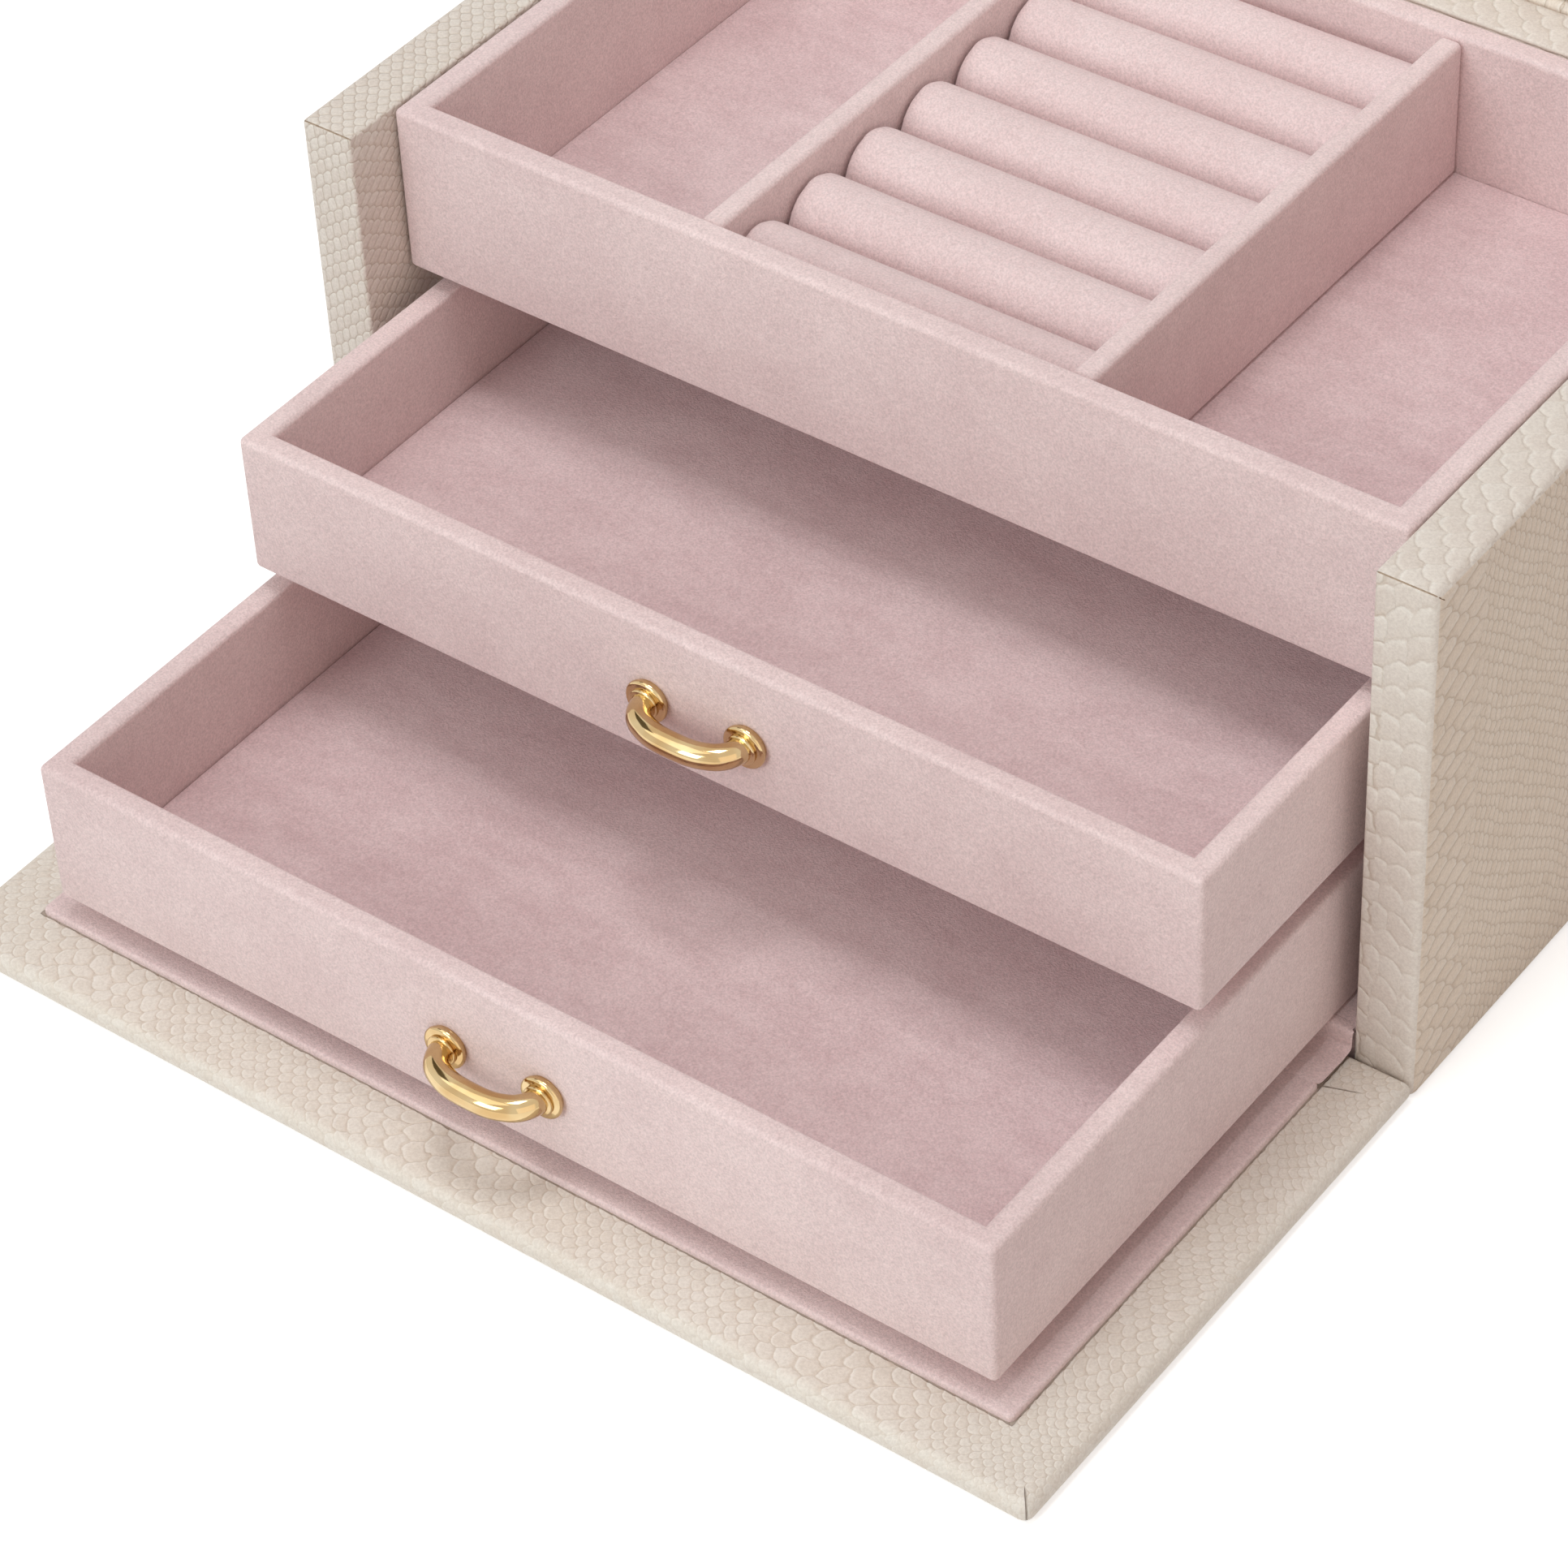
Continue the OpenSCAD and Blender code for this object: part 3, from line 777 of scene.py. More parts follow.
class Bench:
    """Modelling by hand: primitives, selection by place or normal, and edit-mode tools."""

    @staticmethod
    def clear() -> None:
        """Leaves edit mode and deselects everything."""
        if bpy.context.object is not None and bpy.context.object.mode != "OBJECT":
            bpy.ops.object.mode_set(mode="OBJECT")
        bpy.ops.object.select_all(action="DESELECT")

    @staticmethod
    def only(piece: Piece) -> None:
        """Selects one piece and makes it active.

        Args:
            piece: The piece.
        """
        Bench.clear()
        piece.select_set(True)
        bpy.context.view_layer.objects.active = piece

    @staticmethod
    def named(name: str) -> Piece:
        """Gives the active object and its data a name, and returns it.

        Args:
            name: The name.

        Returns:
            The active object.
        """
        piece = bpy.context.object
        piece.name = name
        piece.data.name = name
        return piece

    @staticmethod
    def settle(piece: Piece) -> None:
        """Puts a piece's place, turn and scale into its mesh."""
        Bench.only(piece)
        bpy.ops.object.transform_apply(location=True, rotation=True, scale=True)

    @staticmethod
    def block(name: str, low: Sequence[float], high: Sequence[float]) -> Piece:
        """Adds a block between two corners.

        Args:
            name: The piece's name.
            low: Lowest corner, in metres.
            high: Highest corner, in metres.

        Returns:
            The new piece, with its place in its mesh.
        """
        Bench.clear()
        middle = [(a + b) / 2 for a, b in zip(low, high)]
        bpy.ops.mesh.primitive_cube_add(size=1, location=middle)
        piece = Bench.named(name)
        piece.scale = [b - a for a, b in zip(low, high)]
        Bench.settle(piece)
        return piece

    @staticmethod
    def ribbon(
        name: str,
        half_w: float,
        path: Sequence[tuple[float, float]],
        spacing: float,
        thick: float,
    ) -> Piece:
        """Draws a strip of cloth out along a path of Y and Z, and gives it its thickness.

        Args:
            name: The piece's name.
            half_w: Half its width along X.
            path: Its places in millimetres.
            spacing: Width of its slices along X.
            thick: Thickness of the cloth.

        Returns:
            The strip.
        """
        Bench.clear()
        sliver = 0.01 * MM
        bpy.ops.mesh.primitive_plane_add(size=1, location=(0, path[0][0] * MM, path[0][1] * MM))
        piece = Bench.named(name)
        piece.scale = (2 * half_w, sliver, 1)
        Bench.settle(piece)
        ahead = path[1][0] - path[0][0]
        last = max((v.co.y for v in piece.data.vertices), key=lambda y: ahead * y)
        with Bench.editing(piece):
            Bench.pick_edges(piece, lambda a, b: max(abs(a.y - last), abs(b.y - last)) < sliver / 10)
            for (y0, z0), (y1, z1) in zip(path, path[1:]):
                move = (0, (y1 - y0) * MM, (z1 - z0) * MM)
                bpy.ops.mesh.extrude_edges_move(TRANSFORM_OT_translate={"value": move})
            bpy.ops.mesh.select_all(action="SELECT")
            bpy.ops.mesh.normals_make_consistent(inside=False)
        Bench.slice_up(piece, X, spacing)
        Bench.finish_with(piece, "SOLIDIFY", thickness=thick, offset=0.0)
        Bench.finish_with(piece, "SUBSURF", levels=1, render_levels=1)
        Bench.outward(piece)
        Bench.smooth(piece, angle=60)
        return piece

    @staticmethod
    @contextmanager
    def editing(piece: Piece) -> Iterator[None]:
        """Opens a piece in edit mode and closes it again.

        Args:
            piece: The piece.

        Returns:
            A context that lasts while the piece is open.
        """
        Bench.only(piece)
        bpy.ops.object.mode_set(mode="EDIT")
        bpy.ops.mesh.select_mode(type="FACE")
        bpy.ops.mesh.select_all(action="DESELECT")
        yield
        bpy.ops.object.mode_set(mode="OBJECT")

    @staticmethod
    def pick(piece: Piece, kind: str, test: Callable[[bmesh.types.BMFace | bmesh.types.BMEdge], bool]) -> int:
        """Selects the faces or the edges that pass a test, in edit mode.

        Args:
            piece: The piece in edit mode.
            kind: FACE or EDGE.
            test: Takes a face or an edge.

        Returns:
            How many are selected.
        """
        bpy.ops.mesh.select_mode(type=kind)
        bpy.ops.mesh.select_all(action="DESELECT")
        mesh = bmesh.from_edit_mesh(piece.data)
        chosen = [item for item in (mesh.faces if kind == "FACE" else mesh.edges) if test(item)]
        for item in chosen:
            item.select_set(True)
        mesh.select_flush_mode()
        bmesh.update_edit_mesh(piece.data)
        return len(chosen)

    @staticmethod
    def pick_faces(piece: Piece, test: Callable[[Vector, Vector], bool]) -> int:
        """Selects the faces whose middle and normal pass a test, and returns how many they are."""
        return Bench.pick(piece, "FACE", lambda face: test(face.calc_center_median(), face.normal))

    @staticmethod
    def pick_edges(piece: Piece, test: Callable[[Vector, Vector], bool]) -> None:
        """Selects the edges whose two ends pass a test."""
        Bench.pick(piece, "EDGE", lambda edge: test(edge.verts[0].co, edge.verts[1].co))

    @staticmethod
    def weigh(piece: Piece, width: float, segments: int, share: Callable[[Vector, Vector], float]) -> None:
        """Rounds the edges of a piece by different radii at once.

        Args:
            piece: The piece.
            width: The largest radius.
            segments: Steps in each rounding.
            share: Takes the two ends of an edge and gives its part of the largest radius, or 0.
        """
        mesh = piece.data
        weights = mesh.attributes.new("bevel_weight_edge", "FLOAT", "EDGE")
        for edge in mesh.edges:
            ends = [mesh.vertices[i].co for i in edge.vertices]
            weights.data[edge.index].value = share(ends[0], ends[1])
        Bench.finish_with(piece, "BEVEL", width=width, segments=segments, limit_method="WEIGHT")
        left = mesh.attributes.get("bevel_weight_edge")
        if left is not None:
            mesh.attributes.remove(left)

    @staticmethod
    def paint(slot: int) -> None:
        """Gives the selected faces the finish in a material slot."""
        bpy.context.object.active_material_index = slot
        bpy.ops.object.material_slot_assign()

    @staticmethod
    def bevel(radius: float, segments: int = 4) -> None:
        """Rounds the selected edges."""
        bpy.ops.mesh.bevel(offset=radius, segments=segments, profile=0.5, affect="EDGES", clamp_overlap=True)

    @staticmethod
    def slide(move: Sequence[float]) -> None:
        """Extrudes the selection by a move."""
        bpy.ops.mesh.extrude_region_move(TRANSFORM_OT_translate={"value": tuple(move)})

    @staticmethod
    def cut(at: Sequence[float], normal: Sequence[float]) -> None:
        """Cuts all of the mesh along a plane and keeps both sides."""
        bpy.ops.mesh.select_all(action="SELECT")
        bpy.ops.mesh.bisect(plane_co=tuple(at), plane_no=tuple(normal))

    @staticmethod
    def slice_up(piece: Piece, axis: int, spacing: float) -> None:
        """Cuts a piece into even slices along one axis, so that a pattern can follow its surface.

        Args:
            piece: The piece.
            axis: The number of the axis.
            spacing: About how wide a slice is.
        """
        values = [v.co[axis] for v in piece.data.vertices]
        low, high = min(values), max(values)
        count = max(int((high - low) / spacing), 1)
        normal = [0.0, 0.0, 0.0]
        normal[axis] = 1.0
        with Bench.editing(piece):
            for i in range(1, count):
                at = [0.0, 0.0, 0.0]
                at[axis] = low + (high - low) * i / count
                Bench.cut(at, normal)

    @staticmethod
    def outward(piece: Piece) -> None:
        """Merges doubles and points all faces outwards.

        Args:
            piece: The piece.
        """
        with Bench.editing(piece):
            bpy.ops.mesh.select_all(action="SELECT")
            bpy.ops.mesh.remove_doubles(threshold=SAME / 10)
            bpy.ops.mesh.normals_make_consistent(inside=False)

    @staticmethod
    def smooth(piece: Piece, angle: float = 40.0) -> None:
        """Shades a piece smooth except at edges sharper than an angle in degrees."""
        Bench.only(piece)
        bpy.ops.object.shade_smooth_by_angle(angle=math.radians(angle))

    @staticmethod
    def finish_with(piece: Piece, kind: str, **settings: object) -> None:
        """Adds a modifier and applies it.

        Args:
            piece: The piece.
            kind: The modifier's type.
            **settings: The modifier's settings.
        """
        Bench.only(piece)
        modifier = piece.modifiers.new(kind.lower(), kind)
        for key, value in settings.items():
            setattr(modifier, key, value)
        bpy.ops.object.modifier_apply(modifier=modifier.name)

    @staticmethod
    def plump(piece: Piece, voxel: float, reach: float, frames: int = 20, pressure: float = 4) -> None:
        """Swells a pad by blowing its cloth up a little, and keeps every point within reach of its start.

        Args:
            piece: The pad, drawn slightly small.
            voxel: Size of the cloth's mesh.
            reach: How far a point may move.
            frames: Steps of the simulation.
            pressure: How hard it is blown up.
        """
        Bench.finish_with(piece, "REMESH", mode="VOXEL", voxel_size=voxel)
        start = [v.co.copy() for v in piece.data.vertices]
        Bench.only(piece)
        cloth = piece.modifiers.new("air", "CLOTH")
        cloth.settings.use_pressure = True
        cloth.settings.uniform_pressure_force = pressure
        cloth.settings.effector_weights.gravity = 0
        for frame in range(1, frames + 1):
            bpy.context.scene.frame_set(frame)
        bpy.ops.object.modifier_apply(modifier=cloth.name)
        bpy.context.scene.frame_set(1)
        for vertex, place in zip(piece.data.vertices, start):
            move = vertex.co - place
            if move.length > reach:
                vertex.co = place + move * (reach / move.length)
        Bench.finish_with(piece, "SUBSURF", levels=1, render_levels=1)

    @staticmethod
    def join(pieces: Sequence[Piece], name: str) -> Piece:
        """Joins several meshes into one piece.

        Args:
            pieces: The meshes.
            name: The name of the whole.

        Returns:
            The joined piece.
        """
        Bench.clear()
        for piece in pieces:
            piece.select_set(True)
        bpy.context.view_layer.objects.active = pieces[0]
        bpy.ops.object.join()
        return Bench.named(name)

    @staticmethod
    def turn(piece: Piece, degrees: float, centre: Sequence[float]) -> None:
        """Turns a piece about a line along X and puts the turn into its mesh.

        Args:
            piece: The piece, drawn around the origin.
            degrees: The turn.
            centre: Where the origin goes.
        """
        spin = Matrix.Rotation(math.radians(degrees), 4, "X")
        piece.matrix_world = Matrix.Translation(centre) @ spin
        bpy.context.view_layer.update()
        Bench.settle(piece)

    @staticmethod
    def lay_scales(piece: Piece, **rules: Rule) -> None:
        """Writes the UV maps that the scales of the leather follow.

        Args:
            piece: The leather piece.
            **rules: For each map, what takes a corner's place and its face's normal, and gives columns
                and rows.
        """
        mesh = piece.data
        while mesh.uv_layers:
            mesh.uv_layers.remove(mesh.uv_layers[0])
        for name, rule in rules.items():
            layer = mesh.uv_layers.new(name=name)
            for face in mesh.polygons:
                for loop in face.loop_indices:
                    layer.data[loop].uv = rule(mesh.vertices[mesh.loops[loop].vertex_index].co, face.normal)

    @staticmethod
    def copy(piece: Piece, name: str, move: Sequence[float]) -> Piece:
        """Copies a piece with a mesh of its own and moves the copy.

        Args:
            piece: The piece.
            name: The copy's name.
            move: How far the copy is moved.

        Returns:
            The copy.
        """
        Bench.only(piece)
        bpy.ops.object.duplicate(linked=False)
        made = Bench.named(name)
        made.location = tuple(move)
        Bench.settle(made)
        return made


def dress(piece: Piece, material: Material, body: Body, slot: Slot, nodes: Sequence[str]) -> None:
    """Gives a piece its finish, its body and the solids it stands for.

    Args:
        piece: The finished mesh.
        material: Its main finish.
        body: The body it moves with.
        slot: The record's finish it takes; not used.
        nodes: The solids it replaces.
    """
    if not piece.data.materials:
        piece.data.materials.append(material)
    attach(piece, body.value)
    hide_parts(*nodes)
    LOG.info("%s: %d faces on %s", piece.name, len(piece.data.polygons), body.value)


def join_bodies(
    piece: Piece,
    material: Material,
    slot: Slot,
    node: str,
    bodies: tuple[Body, Body],
    start: Point,
    end: Point,
) -> None:
    """Dresses a cloth that crosses a hinge: gives it its finish, hides the solid it replaces and puts its
    place into its mesh.

    Args:
        piece: The cloth.
        material: Its finish.
        slot: The record's finish it takes; not used.
        node: The solid it replaces.
        bodies: The body it starts on and the body it ends on.
        start: Where it leaves the first body; not used.
        end: Where it reaches the second; not used.
    """
    piece.data.materials.append(material)
    first, second = (body.value for body in bodies)
    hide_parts(node)
    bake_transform(piece)
    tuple(start)
    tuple(end)
    LOG.info("%s: %d faces from %s to %s", piece.name, len(piece.data.polygons), first, second)


def part_way(value: float, low: float, high: float) -> float:
    """Tells how far a value is from a low mark to a high one, from 0 to 1."""
    return min(max((value - low) / (high - low), 0.0), 1.0)


@dataclass(frozen=True)
class Lay:
    """How scales lie on a face: their size in millimetres, their columns' lean and their rows' climb."""

    wide: float
    tall: float
    lean: float
    climb: float

    def at(self, run: float, rise: float) -> tuple[float, float]:
        """Gives the columns and rows at a place along a face and up it."""
        return (run + self.lean * rise) / self.wide, (rise + self.climb * run) / self.tall


def aslant(x: float, y: float) -> tuple[float, float]:
    """Gives a place across and along the rows of scales that run aslant over the borders."""
    return -SLANT_RUN * x + SLANT_RISE * y, -SLANT_RISE * x - SLANT_RUN * y


def by_turns(across: float, along: float, start: tuple[float, float] = (0.0, 0.0)) -> tuple[float, float]:
    """Makes the scales of a border larger and smaller by turns.

    Args:
        across: A place across the rows, in millimetres.
        along: A place along the rows.
        start: Where the turns start.

    Returns:
        Columns and rows.
    """
    wide, tall = BORDER_SCALE
    swell, pace = 3.15, 0.1047
    across -= swell * math.sin(pace * (across + start[0]))
    swell, pace = 3.94, 0.0838
    along -= swell * math.sin(pace * (along + start[1]))
    return across / wide, along / tall


def over_edges(x: float, y: float, drop: float, normal: Vector) -> tuple[float, float]:
    """Carries the pattern of a flat board down over its edges.

    Args:
        x: A place on the board, in millimetres.
        y: The same.
        drop: How far it is below the board's face.
        normal: The normal there.

    Returns:
        The place as it would be with the leather laid flat.
    """
    edge_on = 0.6
    if abs(normal.x) > edge_on:
        x += math.copysign(drop, x)
    if abs(normal.y) > edge_on:
        y += math.copysign(drop, normal.y)
    return x, y


def soft_board(name: str, low: Vector, high: Vector, radius: float, segments: int = 4) -> Piece:
    """Makes a board whose edges are all rounded, as cloth drawn over a board is.

    Args:
        name: The piece's name.
        low: Lowest corner.
        high: Highest corner.
        radius: Radius of the edges.
        segments: Steps in each rounding.

    Returns:
        The board.
    """
    piece = Bench.block(name, low, high)
    with Bench.editing(piece):
        Bench.pick_edges(piece, lambda a, b: True)
        Bench.bevel(radius, segments)
    Bench.smooth(piece)
    return piece


@dataclass
class SoftBox:
    """An open box covered in one cloth, with soft rims and corners."""

    wall: float
    rim: float = 1.3 * MM
    corner: float = 1.0
    foot: float = 0.9

    def make(self, name: str, low: Vector, high: Vector, floor: float) -> Piece:
        """Makes the box.

        Args:
            name: The piece's name.
            low: Lowest corner.
            high: Highest corner.
            floor: Height of the floor inside.

        Returns:
            The box.
        """
        piece = Bench.block(name, low, high)
        with Bench.editing(piece):
            Bench.pick_faces(piece, lambda c, n: n.z > FACING)
            bpy.ops.mesh.inset(thickness=self.wall, depth=0.0)
            Bench.slide((0, 0, floor - high.z))

        def outer(v: Vector) -> bool:
            """Tells whether a point is on the outside of the box."""
            return min(v.x - low.x, high.x - v.x, v.y - low.y, high.y - v.y) < self.wall / 2

        def share(a: Vector, b: Vector) -> float:
            """Gives the rims, the outer corners and the bottom edges their radii.

            Args:
                a: One end of an edge.
                b: Its other end.

            Returns:
                The edge's part of the largest radius.
            """
            if min(a.z, b.z) > high.z - SAME:
                return 1.0 if outer(a) == outer(b) else 0.0
            if max(a.z, b.z) < low.z + SAME:
                return self.foot
            return self.corner if abs(a.z - b.z) > SAME and outer(a) else 0.0

        Bench.weigh(piece, self.rim, segments=5, share=share)
        Bench.smooth(piece, angle=50)
        return piece


@dataclass
class Carcass:
    """The leather-wrapped walls, the linings behind the drawers and the felt underneath."""

    half_w: float = HALF_W
    wall: float = 13 * MM
    front: float = FRONT
    back: float = -FRONT
    height: float = 124.5 * MM
    edge: float = 2.2 * MM
    inner_edge: float = 0.3
    foot_edge: float = 0.7
    seam: float = 0.12 * MM
    seam_depth: float = 0.22 * MM
    seam_in: float = 0.4 * MM
    slices: Point = (10 * MM, 7 * MM, 12 * MM)
    broad_scale: tuple[float, float] = (4.6, 4.4)
    small_scale: tuple[float, float] = (2.7, 2.3)
    left_part: float = -100 * MM
    wrap: float = 5 * MM
    tip_tilt: tuple[float, float] = (-0.4, 0.5)
    tip_tilt_span: tuple[float, float] = (20, 115)
    brick_lay: Lay = Lay(*BRICK_SCALE, 0.12, -0.75)
    front_lay: Lay = Lay(9.5, TIP_SCALE[1], -1.97, 0.757)
    back_lay: Lay = Lay(2.6, 3.6, 0.3, 0.2)
    inner_lay: Lay = Lay(3.0, 3.6, -1.0, 0.6)
    fine_lay: Lay = Lay(2.26, 3.2, -0.338, 0.85)
    board_edge: float = 0.5 * MM
    felt_edge: float = 0.4 * MM
    suede_boards: tuple[str, ...] = (
        "lower_left_runner",
        "lower_right_runner",
        "drawer_shelf",
        "upper_left_runner",
        "upper_right_runner",
        "floor_lining",
    )

    def scale_rule(self, place: Vector, normal: Vector) -> tuple[float, float]:
        """Lays the broad scales: upright on the tips, aslant on the sides and tops.

        Args:
            place: A corner of a face.
            normal: The face's normal.

        Returns:
            Columns and rows.
        """
        x, y, z = place / MM
        wall, wrap = self.wall / MM, self.wrap / MM
        deep = self.half_w / MM - abs(x)
        run = y - self.front / MM
        low, high = self.tip_tilt
        tilt = low + (high - low) * part_way(z, *self.tip_tilt_span)
        if normal.z > 0.7:
            wide, tall = self.broad_scale if place.x > self.left_part else self.small_scale
            across, along = aslant(x, y)
            return across / wide, along / tall
        if normal.y < -0.6 and run < wrap:
            if x < 0:
                return self.brick_lay.at(deep, z)
            wide, tall = TIP_SCALE
            return -deep / wide, (z - tilt * (wall - deep)) / tall
        if abs(normal.x) > 0.5 and deep < wrap:
            column, row = self.front_lay.at(run, z)
            return column, row - wall * tilt / self.front_lay.tall
        if normal.y > 0.5 and place.y > self.back - self.wrap:
            return self.back_lay.at(x, z)
        return self.inner_lay.at(run, z)

    def fine_rule(self, place: Vector, normal: Vector) -> tuple[float, float]:
        """Lays the narrow scales of the side walls, behind their front edges."""
        run = place.x if abs(normal.y) > 0.7 else place.y - self.front
        return self.fine_lay.at(run / MM, place.z / MM)

    def shell(self, wardrobe: Wardrobe) -> Piece:
        """Models the three walls as one wrapped shell, with a fold across the tip of each side wall.

        Args:
            wardrobe: The finishes.

        Returns:
            The shell.
        """
        inner = self.half_w - self.wall
        inner_back = self.back - self.wall
        Bench.clear()
        bpy.ops.mesh.primitive_plane_add(size=1, location=(0, self.back - self.wall / 2, 0))
        piece = Bench.named("carcass_leather")
        piece.scale = (2 * self.half_w, self.wall, 1)
        Bench.settle(piece)
        with Bench.editing(piece):
            for x in (-inner, inner):
                Bench.cut((x, 0, 0), (1, 0, 0))
            Bench.pick_edges(
                piece,
                lambda a, b: max(abs(a.y - inner_back), abs(b.y - inner_back)) < SAME
                and abs(a.x + b.x) / 2 > inner,
            )
            bpy.ops.mesh.extrude_edges_move(TRANSFORM_OT_translate={"value": (0, self.front - inner_back, 0)})
            bpy.ops.mesh.select_all(action="SELECT")
            Bench.slide((0, 0, self.height))
            bpy.ops.mesh.select_all(action="SELECT")
            bpy.ops.mesh.normals_make_consistent(inside=False)
            bpy.ops.mesh.select_mode(type="FACE")
            bpy.ops.mesh.select_all(action="SELECT")
            bpy.ops.mesh.dissolve_limited(angle_limit=math.radians(1))

        def share(a: Vector, b: Vector) -> float:
            """Gives the outer edges a soft radius, and the inner and front ones a tighter one.

            Args:
                a: One end of an edge.
                b: Its other end.

            Returns:
                The edge's part of the largest radius.
            """
            if max(a.z, b.z) < SAME:
                return self.foot_edge
            outer_x = min(abs(a.x), abs(b.x)) > self.half_w - SAME
            outer_back = min(a.y, b.y) > self.back - SAME
            if abs(a.z - b.z) > SAME:
                tip = max(a.y, b.y) < self.front + SAME
                if outer_x:
                    return 1.0
                return self.inner_edge if tip else 0.0
            return 1.0 if outer_x or outer_back else self.inner_edge

        Bench.weigh(piece, self.edge, segments=6, share=share)
        for axis in (Y, X, Z):
            Bench.slice_up(piece, axis, self.slices[axis])
        self.fold(piece, wardrobe)
        Bench.lay_scales(piece, scales=self.scale_rule, fine=self.fine_rule)
        Bench.smooth(piece, angle=50)
        return piece

    def fold(self, piece: Piece, wardrobe: Wardrobe) -> None:
        """Paints the shell, and sinks a fold line along the top of each tip, where the leather is tucked in,
        in the darker fold finish as painted shade.

        Args:
            piece: The shell.
            wardrobe: The finishes.
        """
        lean = Vector((0, -1, 1)).normalized()
        normal = Vector((0, 1, 1)).normalized()
        middle = Vector((0, self.front + self.seam_in, self.height - self.seam_in))
        finishes = (wardrobe.tip_leather, wardrobe.fold, wardrobe.side_leather, wardrobe.brick_leather)
        for finish in finishes:
            piece.data.materials.append(finish)

        def near(c: Vector) -> bool:
            """Tells whether a point is on the rounded top of a tip."""
            return c.y < self.front + self.wrap and c.z > self.height - self.wrap

        def on_side(c: Vector, n: Vector) -> bool:
            """Tells whether a face is on an outer side or on the back."""
            out = abs(n.x) > FACING and abs(c.x) > self.half_w - self.wrap
            return (out or (n.y > 0.5 and c.y > self.back - self.wrap)) and n.z < 0.7

        def small(c: Vector, n: Vector) -> bool:
            """Tells whether a face is on the left wall's tip and top or on an inner face."""
            return c.x < self.left_part or (abs(c.x) < self.half_w - 2 * self.wrap and n.z < 0.7)

        with Bench.editing(piece):
            Bench.pick_faces(piece, lambda c, n: small(c, n) and not on_side(c, n))
            Bench.paint(finishes.index(wardrobe.brick_leather))
            # The outer sides and the back take the warmer side leather, painted shade.
            Bench.pick_faces(piece, on_side)
            Bench.paint(finishes.index(wardrobe.side_leather))
            for side in (-1, 1):
                Bench.pick_faces(piece, lambda c, n: near(c))
                at = middle + normal * side * self.seam
                bpy.ops.mesh.bisect(plane_co=tuple(at), plane_no=tuple(normal))
            count = Bench.pick_faces(
                piece,
                lambda c, n: near(c)
                and abs((c - middle).dot(normal)) < self.seam * 0.9
                and n.dot(lean) > 0.2,
            )
            LOG.info("%s: %d faces in the folds", piece.name, count)
            bpy.ops.mesh.extrude_region_shrink_fatten(TRANSFORM_OT_shrink_fatten={"value": -self.seam_depth})
            # The sunk fold takes the darker fold finish: painted shade in the groove.
            Bench.paint(finishes.index(wardrobe.fold))

    def build(self, wardrobe: Wardrobe) -> None:
        """Makes and dresses the carcass.

        Args:
            wardrobe: The finishes.
        """
        shell = self.shell(wardrobe)
        walls = ("left_wall", "right_wall", "back_wall")
        dress(shell, wardrobe.tip_leather, Body.CARCASS, Slot.LEATHER, walls)
        for name in self.suede_boards:
            low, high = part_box(name)
            piece = soft_board(name + "_suede", low, high, self.board_edge, 3)
            dress(piece, wardrobe.suede, Body.CARCASS, Slot.SUEDE, (name,))
        low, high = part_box("base_cover")
        felt = soft_board("base_felt", low, high, self.felt_edge, 2)
        dress(felt, wardrobe.felt, Body.CARCASS, Slot.FELT, ("base_cover",))


